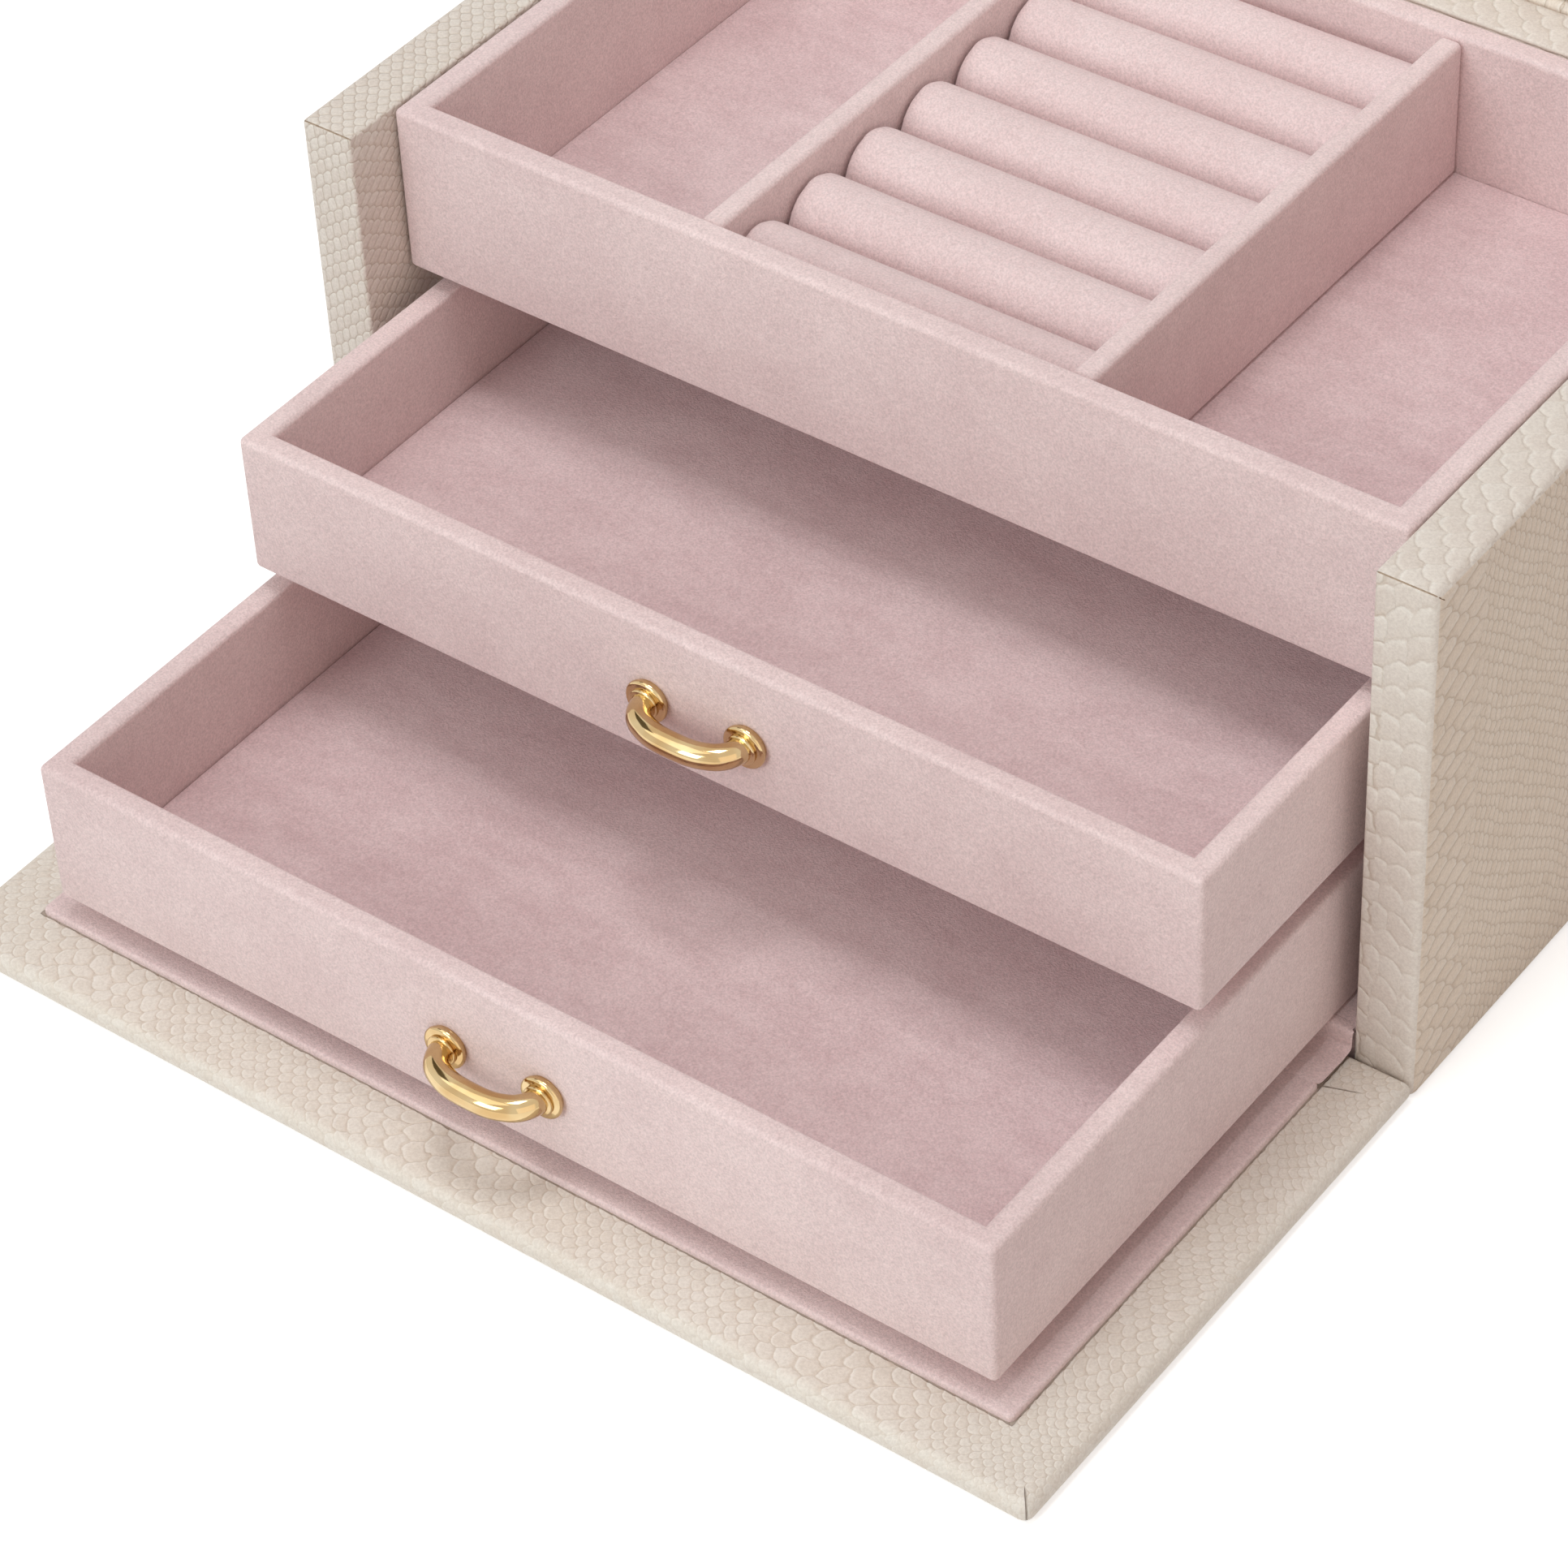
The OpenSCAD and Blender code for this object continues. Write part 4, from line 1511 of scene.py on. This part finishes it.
@dataclass
class Tray:
    """The fixed top tray: a suede box, its floor, two dividers and seven ring rolls."""

    box: SoftBox = field(default_factory=lambda: SoftBox(5.5 * MM))
    rolls: int = 7
    roll_end: float = 1.5 * MM
    roll_mesh: float = 1.5 * MM
    slack: float = 0.25 * MM
    flare: float = 0.5
    flare_limit: float = 0.99
    lining_edge: float = 0.6 * MM
    divider_edge: float = 1.3 * MM

    def roll(self) -> Piece:
        """Models one foam roll with a round crown and tucked ends, slightly small, and blows it up.

        Returns:
            The roll that is copied.
        """
        low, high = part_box("ring_roll_1")
        radius = (high.y - low.y) / 2
        axis = Vector((0, (low.y + high.y) / 2, high.z - radius))
        Bench.clear()
        bpy.ops.mesh.primitive_cylinder_add(
            vertices=48,
            radius=radius - self.slack,
            depth=high.x - low.x - 2 * self.slack,
            location=axis,
            rotation=(0, math.pi / 2, 0),
        )
        master = Bench.named("roll_master")
        Bench.settle(master)
        with Bench.editing(master):
            Bench.pick_edges(master, lambda a, b: abs(a.x - b.x) < SAME)
            Bench.bevel(self.roll_end)
        limit = (radius - self.slack) * self.flare_limit
        for vertex in master.data.vertices:
            drop = axis.z - vertex.co.z
            if drop > 0:
                share = drop / radius
                vertex.co.z = axis.z - share * (axis.z - low.z)
                reach = vertex.co.y - axis.y
                vertex.co.y = axis.y + math.copysign(min(abs(reach) * (1 + self.flare * share), limit), reach)
        Bench.plump(master, self.roll_mesh, self.slack)
        Bench.smooth(master, angle=80)
        return master

    def build(self, wardrobe: Wardrobe) -> None:
        """Makes and dresses the tray.

        Args:
            wardrobe: The finishes.
        """
        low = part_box("tray_front")[0]
        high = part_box("tray_back")[1]
        box = self.box.make("tray_box", low, high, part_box("tray_floor")[1].z)
        nodes = ("tray_front", "tray_back", "tray_left_side", "tray_right_side", "tray_floor")
        dress(box, wardrobe.suede, Body.CARCASS, Slot.SUEDE, nodes)
        low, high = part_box("tray_lining")
        lining = soft_board("tray_floor_suede", low, high, self.lining_edge)
        # The tray floor takes the darker floor suede, painted shade.
        dress(lining, wardrobe.shaded_floor_suede, Body.CARCASS, Slot.SUEDE, ("tray_lining",))
        for name in ("left_divider", "right_divider"):
            low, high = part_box(name)
            piece = soft_board(name + "_suede", low, high, self.divider_edge, 5)
            dress(piece, wardrobe.suede, Body.CARCASS, Slot.SUEDE, (name,))
        master = self.roll()
        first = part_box("ring_roll_1")[0]
        for number in range(1, self.rolls + 1):
            name = f"ring_roll_{number}"
            piece = Bench.copy(master, name + "_plush", (0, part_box(name)[0].y - first.y, 0))
            dress(piece, wardrobe.roll_suede, Body.CARCASS, Slot.ROLL_SUEDE, (name,))
        bpy.data.objects.remove(master)


@dataclass(frozen=True)
class RosetteStep:
    """One round step of a handle's rosette, how far out it starts and the rounding of its edge."""

    radius: float
    thick: float
    out: float
    rounding: float

    def make(self, post: Vector) -> Piece:
        """Adds the step around the foot of a post.

        Args:
            post: The middle of the post on the drawer's front face.

        Returns:
            The step.
        """
        Bench.clear()
        bpy.ops.mesh.primitive_cylinder_add(
            vertices=48,
            radius=self.radius,
            depth=self.thick,
            location=post - Vector((0, self.out + self.thick / 2, 0)),
            rotation=(math.pi / 2, 0, 0),
        )
        piece = bpy.context.object
        Bench.settle(piece)
        with Bench.editing(piece):
            Bench.pick_edges(piece, lambda a, b: abs(a.y - b.y) < SAME)
            Bench.bevel(self.rounding)
        return piece


@dataclass
class Handle:
    """A gilt bow handle: a bowed round bar between two stepped rosettes."""

    pitch: float = 23 * MM
    out: float = 11 * MM
    bar: float = 2.6 * MM
    shoulder_in: float = 3.4 * MM
    shoulder_drop: float = 1.5 * MM
    crown_drop: float = 0.3 * MM
    crown_pull: float = 4.2 * MM
    root_pull: float = 1.0 * MM
    post_pull: float = 2.0 * MM
    neck_in: float = 0.2 * MM
    neck_drop: float = 3.0 * MM
    arm_in: float = 6 * MM
    steps: int = 14
    facets: int = 8
    rosette: tuple[RosetteStep, ...] = (
        RosetteStep(4.3 * MM, 0.5 * MM, 0.0, 0.12 * MM),
        RosetteStep(4.75 * MM, 1.5 * MM, 0.4 * MM, 0.65 * MM),
        RosetteStep(3.3 * MM, 0.8 * MM, 1.85 * MM, 0.35 * MM),
    )

    def bow(self, face: Vector) -> Piece:
        """Adds the bowed bar between the two posts.

        Args:
            face: The middle of the handle on the drawer's front face.

        Returns:
            The bar.
        """
        half = self.pitch / 2
        reach = self.out - self.bar
        shoulder = half - self.shoulder_in
        Bench.clear()
        bpy.ops.curve.primitive_bezier_curve_add(location=(0, 0, 0))
        curve = bpy.context.object
        spline = curve.data.splines[0]
        spline.bezier_points.add(3)
        near, far = reach - self.shoulder_drop, reach - self.crown_drop
        neck, arm = half - self.neck_in, half - self.arm_in
        stops = (
            ((-half, 0.0), (-half, self.root_pull), (-half, -self.post_pull)),
            ((-shoulder, -near), (-neck, self.neck_drop - reach), (-arm, -far)),
            ((0.0, -reach), (-self.crown_pull, -reach), (self.crown_pull, -reach)),
            ((shoulder, -near), (arm, -far), (neck, self.neck_drop - reach)),
            ((half, 0.0), (half, -self.post_pull), (half, self.root_pull)),
        )
        for point, (place, left, right) in zip(spline.bezier_points, stops):
            point.handle_left_type = "FREE"
            point.handle_right_type = "FREE"
            point.co = face + Vector((*place, 0))
            point.handle_left = face + Vector((*left, 0))
            point.handle_right = face + Vector((*right, 0))
        curve.data.dimensions = "3D"
        curve.data.resolution_u = self.steps
        curve.data.bevel_depth = self.bar
        curve.data.bevel_resolution = self.facets
        Bench.only(curve)
        bpy.ops.object.convert(target="MESH")
        return bpy.context.object

    def make(self, name: str, face: Vector) -> Piece:
        """Makes a handle.

        Args:
            name: The piece's name.
            face: The middle of the handle on the drawer's front face.

        Returns:
            The handle.
        """
        parts = [self.bow(face)]
        for side in (-1, 1):
            post = face + Vector((side * self.pitch / 2, 0, 0))
            parts.extend(step.make(post) for step in self.rosette)
        piece = Bench.join(parts, name)
        Bench.outward(piece)
        Bench.smooth(piece, angle=50)
        return piece


@dataclass
class Drawer:
    """A suede drawer with a padded floor and a gilt handle."""

    prefix: str
    body: Body
    box: SoftBox = field(default_factory=lambda: SoftBox(5.2 * MM))
    handle: Handle = field(default_factory=Handle)
    pad_edge: float = 0.9 * MM
    pad_slice: float = 5 * MM
    crown: float = 0.7 * MM
    roll_off: float = 14 * MM

    def pad(self, name: str, low: Vector, high: Vector) -> Piece:
        """Makes the padded floor, full in the middle and drawn down along the walls.

        Args:
            name: The piece's name.
            low: Lowest corner.
            high: Highest corner.

        Returns:
            The pad.
        """
        piece = soft_board(name, low, high, self.pad_edge)
        for axis in (X, Y):
            Bench.slice_up(piece, axis, self.pad_slice)
        middle = (low.z + high.z) / 2
        for vertex in piece.data.vertices:
            x, y, z = vertex.co
            if z > middle:
                inset = min(x - low.x, high.x - x, y - low.y, high.y - y)
                share = 1 - part_way(inset, 0.0, self.roll_off)
                vertex.co.z = z - self.crown * share * share
        Bench.smooth(piece)
        return piece

    def build(self, wardrobe: Wardrobe) -> None:
        """Makes and dresses the drawer.

        Args:
            wardrobe: The finishes.
        """
        stem = self.prefix + "_drawer_"
        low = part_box(stem + "front")[0]
        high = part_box(stem + "back")[1]
        box = self.box.make(stem + "box", low, high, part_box(stem + "floor")[1].z)
        nodes = tuple(stem + part for part in ("front", "back", "left_side", "right_side", "floor"))
        dress(box, wardrobe.suede, self.body, Slot.SUEDE, nodes)
        low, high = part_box(stem + "pad")
        pad = self.pad(stem + "pad_suede", low, high)
        # The pad takes the darker floor suede, painted shade.
        dress(pad, wardrobe.shaded_floor_suede, self.body, Slot.SUEDE, (stem + "pad",))
        handle_low, handle_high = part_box(self.prefix + "_handle")
        face = Vector((0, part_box(stem + "front")[0].y, (handle_low.z + handle_high.z) / 2))
        handle = self.handle.make(self.prefix + "_gilt_handle", face)
        dress(handle, wardrobe.gold, self.body, Slot.GOLD, (self.prefix + "_handle",))


@dataclass
class Flap:
    """The drop front: a leather board with a suede panel and the cloth that hinges it."""

    edge: float = 2.4 * MM
    hinge_edge: float = 0.7
    corner: float = 0.2
    slice_w: float = 6 * MM
    top: float = 5.3
    finer: float = 0.35
    panel_corner: float = 1.2 * MM
    panel_edge: float = 0.7 * MM
    cloth_t: float = 0.5 * MM
    cloth_slice: float = 12 * MM
    cloth_half_w: float = 116.9 * MM
    cloth_spread: float = 1.005
    cloth_spread_from: float = -83.55 * MM
    cloth_start: Point = (0, -83.4 * MM, 10 * MM)
    cloth_end: Point = (0, -92 * MM, 7 * MM)
    cloth_path: tuple[tuple[float, float], ...] = (
        (-81.5, 10.95), (-82.9, 11.1), (-83.6, 11.1), (-84.0, 10.85), (-84.1, 10.2), (-84.15, 8.6),
        (-84.2, 7.4), (-84.45, 6.9), (-85.4, 6.75), (-87.0, 6.65), (-87.9, 6.45), (-88.8, 6.65),
        (-90.5, 6.7), (-92.5, 6.75), (-94.4, 6.85), (-96.2, 6.85),
    )

    def scale_rule(self, place: Vector, normal: Vector) -> tuple[float, float]:
        """Lays scales aslant over the flap, larger and smaller by turns, and down its edges.

        Args:
            place: A corner of a face.
            normal: The face's normal.

        Returns:
            Columns and rows.
        """
        x, y, z = place / MM
        y += self.finer * part_way(abs(x), 80, 116) * (y + 200)
        x += math.copysign(self.finer * max(abs(x) - 100, 0.0), x)
        x, y = over_edges(x, y, self.top - z, normal)
        return by_turns(*aslant(x, y), start=(152, -134.8))

    def build(self, wardrobe: Wardrobe) -> None:
        """Makes and dresses the flap.

        Args:
            wardrobe: The finishes.
        """
        low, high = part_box("flap_board")
        board = Bench.block("flap_leather", low, high)

        def share(a: Vector, b: Vector) -> float:
            """Gives the outer edges a soft radius and the edges at the hinge a tighter one.

            Args:
                a: One end of an edge.
                b: Its other end.

            Returns:
                The edge's part of the largest radius.
            """
            if min(a.y, b.y) < high.y - SAME:
                return 1.0
            return self.corner if abs(a.z - b.z) > SAME else self.hinge_edge

        Bench.weigh(board, self.edge, segments=6, share=share)
        for axis in (X, Y):
            Bench.slice_up(board, axis, self.slice_w)
        Bench.lay_scales(board, scales=self.scale_rule)
        Bench.smooth(board, angle=50)
        dress(board, wardrobe.flap_leather, Body.FLAP, Slot.LEATHER, ("flap_board",))
        low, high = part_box("flap_lining")
        lining = Bench.block("flap_suede", low, high)
        with Bench.editing(lining):
            Bench.pick_edges(lining, lambda a, b: abs(a.z - b.z) > SAME)
            Bench.bevel(self.panel_corner)
            Bench.pick_edges(lining, lambda a, b: min(a.z, b.z) > high.z - SAME)
            Bench.bevel(self.panel_edge)
        Bench.smooth(lining, angle=50)
        dress(lining, wardrobe.suede, Body.FLAP, Slot.SUEDE, ("flap_lining",))
        path = self.cloth_path
        cloth = Bench.ribbon("front_hinge_suede", self.cloth_half_w, path, self.cloth_slice, self.cloth_t)
        for vertex in cloth.data.vertices:
            if vertex.co.y < self.cloth_spread_from:
                vertex.co.x *= self.cloth_spread
        join_bodies(
            cloth,
            wardrobe.suede,
            Slot.SUEDE,
            "front_hinge_strip",
            (Body.CARCASS, Body.FLAP),
            self.cloth_start,
            self.cloth_end,
        )


@dataclass
class Lid:
    """The open lid: a leather board with a suede frame and a mirror inside, on a leather hinge."""

    half_w: float = HALF_W
    depth: float = 166.8 * MM
    thick: float = 7.5 * MM
    seat: float = 0.3 * MM
    gap: float = 1.2 * MM
    border: float = 15 * MM
    pocket: float = 3 * MM
    frame: float = 18 * MM
    glass: float = 2 * MM
    fit: float = 0.2 * MM
    open_by: float = 100
    hinge: Point = (0, 84.5 * MM, 124.5 * MM)
    edge: float = 2.2 * MM
    slice_w: float = 8 * MM
    lining_web: float = 0.2 * MM
    lining_edge: float = 0.8 * MM
    cut_edge: float = 6 * MM
    cut_rise: float = 0.35 * MM
    strip_t: float = 0.6 * MM
    strip_slice: float = 12 * MM
    strip_lay: Lay = Lay(3.6, 3.6, 0.3, 0.2)
    strip_start: Point = (0, 84 * MM, 122.5 * MM)
    strip_end: Point = (0, 86.5 * MM, 124.4 * MM)
    strip_half_w: float = 117 * MM
    strip_path: tuple[tuple[float, float], ...] = (
        (83.9, 102.5), (83.95, 108), (83.95, 114), (83.95, 119.5), (84.0, 122.2), (84.2, 123.5),
        (84.8, 124.2), (85.8, 124.45), (87.2, 124.3), (89.0, 124.0), (91.0, 123.65),
    )

    def scale_rule(self, place: Vector, normal: Vector) -> tuple[float, float]:
        """Lays the scales over the lid, drawn closed.

        Args:
            place: A corner of a face.
            normal: The face's normal.

        Returns:
            Columns and rows.
        """
        drop = (self.seat + self.thick - place.z) / MM
        x, y = over_edges(place.x / MM, place.y / MM, drop, normal)
        return by_turns(*aslant(-x, y))

    def strip_rule(self, place: Vector, normal: Vector) -> tuple[float, float]:
        """Lays the scales along the leather hinge.

        Args:
            place: A corner of a face.
            normal: The face's normal, which this pattern doesn't need.

        Returns:
            Columns and rows.
        """
        x, y, z = place / MM
        column, row = self.strip_lay.at(x, z)
        return column, row - y / self.strip_lay.tall

    def board(self, wardrobe: Wardrobe) -> None:
        """Makes the leather board with its pocket.

        Args:
            wardrobe: The finishes.
        """
        far = -self.gap - self.depth
        near = -self.gap
        low, high = (-self.half_w, far, self.seat), (self.half_w, near, self.seat + self.thick)
        board = Bench.block("lid_leather", low, high)
        with Bench.editing(board):
            Bench.pick_faces(board, lambda c, n: n.z < -FACING)
            bpy.ops.mesh.inset(thickness=self.border, depth=0.0)
            Bench.slide((0, 0, self.pocket))
            Bench.pick_edges(
                board,
                lambda a, b: min(abs(a.x), abs(b.x)) > self.half_w - SAME
                or max(abs(a.y - far), abs(b.y - far)) < SAME
                or max(abs(a.y - near), abs(b.y - near)) < SAME,
            )
            Bench.bevel(self.edge, 5)
        for axis in (X, Y):
            Bench.slice_up(board, axis, self.slice_w)
        Bench.lay_scales(board, scales=self.scale_rule)
        Bench.turn(board, -self.open_by, self.hinge)
        Bench.smooth(board, angle=50)
        dress(board, wardrobe.lid_leather, Body.LID, Slot.LEATHER, ("lid_board",))

    def inside(self, wardrobe: Wardrobe) -> None:
        """Makes the suede frame and the mirror in the pocket.

        Args:
            wardrobe: The finishes.
        """
        far = -self.gap - self.depth
        near = -self.gap
        x = self.half_w - self.border - self.fit
        low = (-x, far + self.border + self.fit, self.seat)
        high = (x, near - self.border - self.fit, self.seat + self.pocket)
        lining = Bench.block("lid_suede", low, high)
        with Bench.editing(lining):
            Bench.pick_faces(lining, lambda c, n: n.z < -FACING)
            bpy.ops.mesh.inset(thickness=self.frame - self.fit, depth=0.0)
            Bench.slide((0, 0, self.pocket - self.lining_web))
            Bench.pick_edges(lining, lambda a, b: max(a.z, b.z) < self.seat + SAME)
            Bench.bevel(self.lining_edge)
        Bench.turn(lining, -self.open_by, self.hinge)
        Bench.smooth(lining, angle=50)
        dress(lining, wardrobe.suede, Body.LID, Slot.SUEDE, ("lid_lining",))

        x = self.half_w - self.border - self.frame - self.fit
        top = self.seat + self.pocket
        low = (-x, far + self.border + self.frame + self.fit, top - self.glass)
        high = (x, near - self.border - self.frame - self.fit, top)
        glass = Bench.block("lid_mirror", low, high)
        with Bench.editing(glass):
            Bench.pick_faces(glass, lambda c, n: n.z < -FACING)
            bpy.ops.mesh.inset(thickness=self.cut_edge, depth=0.0)
            bpy.ops.transform.translate(value=(0, 0, -self.cut_rise))
        Bench.turn(glass, -self.open_by, self.hinge)
        Bench.smooth(glass, angle=5)
        dress(glass, wardrobe.mirror, Body.LID, Slot.MIRROR, ("mirror",))

    def build(self, wardrobe: Wardrobe) -> None:
        """Makes and dresses the lid and its hinge.

        Args:
            wardrobe: The finishes.
        """
        self.board(wardrobe)
        self.inside(wardrobe)
        path = self.strip_path
        strip = Bench.ribbon("lid_hinge_leather", self.strip_half_w, path, self.strip_slice, self.strip_t)
        Bench.lay_scales(strip, scales=self.strip_rule)
        join_bodies(
            strip,
            wardrobe.lid_leather,
            Slot.LEATHER,
            "lid_hinge_strip",
            (Body.CARCASS, Body.LID),
            self.strip_start,
            self.strip_end,
        )


def facing(place: Point, aim: Point) -> Euler:
    """The turn that makes something at a place face the point it is aimed at."""
    return (Vector(aim) - Vector(place)).to_track_quat("-Z", "Y").to_euler()


@dataclass(frozen=True)
class Lamp:
    """A soft square lamp: where it hangs, its width in metres, its power in watts and its colour."""

    name: str
    place: Point
    size: float
    power: float
    colour: Colour

    def hang(self, aim: Point) -> None:
        """Adds the lamp.

        Args:
            aim: The point it faces.
        """
        Bench.clear()
        bpy.ops.object.light_add(type="AREA", location=self.place)
        lamp = Bench.named(self.name)
        lamp.data.shape = "SQUARE"
        lamp.data.size = self.size
        lamp.data.energy = self.power
        lamp.data.color = linear(self.colour)[:3]
        lamp.rotation_euler = facing(self.place, aim)


@dataclass
class Studio:
    """The pale floor, the soft lights and the camera at the photograph's angle."""

    eye: Point = (476.53 * MM, -698.39 * MM, 721.07 * MM)
    azimuth: float = 38.778
    elevation: float = 42.21
    roll: float = -3.146
    lens: float = 121.64
    sensor: float = 36
    sight: float = 20
    surround: float = 0.42
    tint: Colour = (255, 245, 241)
    floor_size: float = 14
    floor_under: float = 0.05 * MM
    floor_colours: tuple[Colour, Colour] = ((238, 238, 238), (242, 242, 242))
    glow: float = 0.52
    far_glow: float = 0.75
    glow_from: float = 0.8
    glow_to: float = 3.0
    card_colours: tuple[Colour, Colour] = ((118, 110, 94), (134, 126, 108))
    card_place: Point = (-1.25, -0.15, 1.35)
    card_size: tuple[float, float] = (1.0, 0.5)
    aim: Point = (0, -60 * MM, 50 * MM)
    lamps: tuple[Lamp, ...] = (
        Lamp("key", (-0.8, -1.05, 1.9), 1.4, 5.6, (249, 255, 255)),
        Lamp("front", (-0.3, -2.0, 1.05), 1.0, 14.8, (241, 255, 255)),
        Lamp("top", (0.0, -0.15, 1.7), 0.5, 7.6, (252, 255, 255)),
        Lamp("fill", (1.3, -0.8, 0.6), 1.2, 1.85, (255, 228, 200)),
    )

    def camera(self) -> None:
        """Adds the camera."""
        az, el, roll = (math.radians(v) for v in (self.azimuth, self.elevation, self.roll))
        ahead = Vector((-math.sin(az) * math.cos(el), math.cos(az) * math.cos(el), -math.sin(el)))
        right = Vector((math.cos(az), math.sin(az), 0))
        up = right.cross(ahead)
        right, up = (
            math.cos(roll) * right + math.sin(roll) * up,
            -math.sin(roll) * right + math.cos(roll) * up,
        )
        Bench.clear()
        bpy.ops.object.camera_add(location=self.eye)
        camera = Bench.named("photo_camera")
        turn = Matrix((right, up, -ahead)).transposed().to_4x4()
        camera.matrix_world = Matrix.Translation(self.eye) @ turn
        camera.data.lens = self.lens
        camera.data.sensor_width = self.sensor
        camera.data.sensor_height = self.sensor
        camera.data.sensor_fit = "HORIZONTAL"
        camera.data.clip_end = self.sight
        bpy.context.scene.camera = camera

    def matt(self, name: str, colours: tuple[Colour, Colour]) -> Finish:
        """Starts a cloudy matt finish.

        Args:
            name: The finish's name.
            colours: The colours it goes between.

        Returns:
            The finish.
        """
        weave = Finish(name)
        cloud = weave.noise(weave.place(), 3).outputs[0]
        skin = weave.mix(cloud, linear(colours[0]), linear(colours[1]))
        weave.shade(Base_Color=skin, Roughness=0.9, Specular_IOR_Level=0.0)
        return weave

    def floor(self) -> None:
        """Adds the pale floor, which keeps the shadow of the chest and glows a little more far away."""
        Bench.clear()
        bpy.ops.mesh.primitive_plane_add(size=self.floor_size, location=(0, 0, -self.floor_under))
        floor = Bench.named("studio_floor")
        weave = self.matt("studio_floor", self.floor_colours)
        away = weave.node("VectorMath", {0: weave.place()}, operation="LENGTH").outputs["Value"]
        glow = weave.ramp(away, self.glow_from, self.glow_to, self.glow, self.far_glow)
        strength = weave.math("MULTIPLY", weave.seen(), glow)
        floor.data.materials.append(weave.shade(Emission_Color=WHITE, Emission_Strength=strength))

    def dark_card(self) -> None:
        """Hangs a dark card that only polished metal mirrors."""
        Bench.clear()
        bpy.ops.mesh.primitive_plane_add(size=1, location=self.card_place)
        card = Bench.named("dark_card")
        card.scale = (*self.card_size, 1)
        card.rotation_euler = facing(self.card_place, self.aim)
        card.data.materials.append(self.matt("dark_card", self.card_colours).material)
        card.visible_camera = False
        card.visible_diffuse = False
        card.visible_shadow = False
        card.visible_transmission = False

    def world(self) -> None:
        """Sets a soft surround light, white where the camera sees it."""
        world = bpy.data.worlds.new("studio")
        bpy.context.scene.world = world
        world.use_nodes = True
        weave = Weave(world.node_tree)
        seen = weave.seen()
        level = weave.ramp(seen, 0.0, 1.0, self.surround, 1.0)
        shade = weave.mix(seen, linear(self.tint), WHITE)
        glow = weave.node("Background", {"Color": shade, "Strength": level})
        weave.node("OutputWorld", {"Surface": glow.outputs[0]})

    def build(self) -> None:
        """Makes the stage."""
        self.camera()
        self.floor()
        self.world()
        for lamp in self.lamps:
            lamp.hang(self.aim)
        self.dark_card()
        bpy.context.scene.view_settings.view_transform = "Standard"


def dress_hidden(frame: dict, wardrobe: Wardrobe) -> None:
    """Gives the solids that stay as they are their procedural finishes.

    Args:
        frame: The loaded frame.
        wardrobe: The finishes.
    """
    finishes = {
        Slot.LEATHER.value: wardrobe.fold,
        Slot.SUEDE.value: wardrobe.suede,
        Slot.ROLL_SUEDE.value: wardrobe.roll_suede,
        Slot.BOARD.value: wardrobe.board,
        Slot.FELT.value: wardrobe.felt,
        Slot.GOLD.value: wardrobe.gold,
        Slot.STEEL.value: wardrobe.steel,
        Slot.MIRROR.value: wardrobe.mirror,
    }
    slots = {part["node"]: part.get("material_slot") for part in frame["record"]["subparts"]}
    for name, node in frame["nodes"].items():
        finish = finishes.get(slots.get(name), wardrobe.board)
        if name == "bottom_board":
            finish = wardrobe.suede
        node.data.materials.clear()
        node.data.materials.append(finish)


def main() -> None:
    """Builds the chest piece by piece."""
    logging.basicConfig(level=logging.INFO, format="%(name)s: %(message)s")
    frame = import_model()
    Bench.clear()
    Studio().build()
    wardrobe = Wardrobe()
    dress_hidden(frame, wardrobe)
    Carcass().build(wardrobe)
    Tray().build(wardrobe)
    Drawer("upper", Body.UPPER_DRAWER).build(wardrobe)
    Drawer("lower", Body.LOWER_DRAWER).build(wardrobe)
    Flap().build(wardrobe)
    Lid().build(wardrobe)
    Bench.clear()


if __name__ == "__main__":
    main()
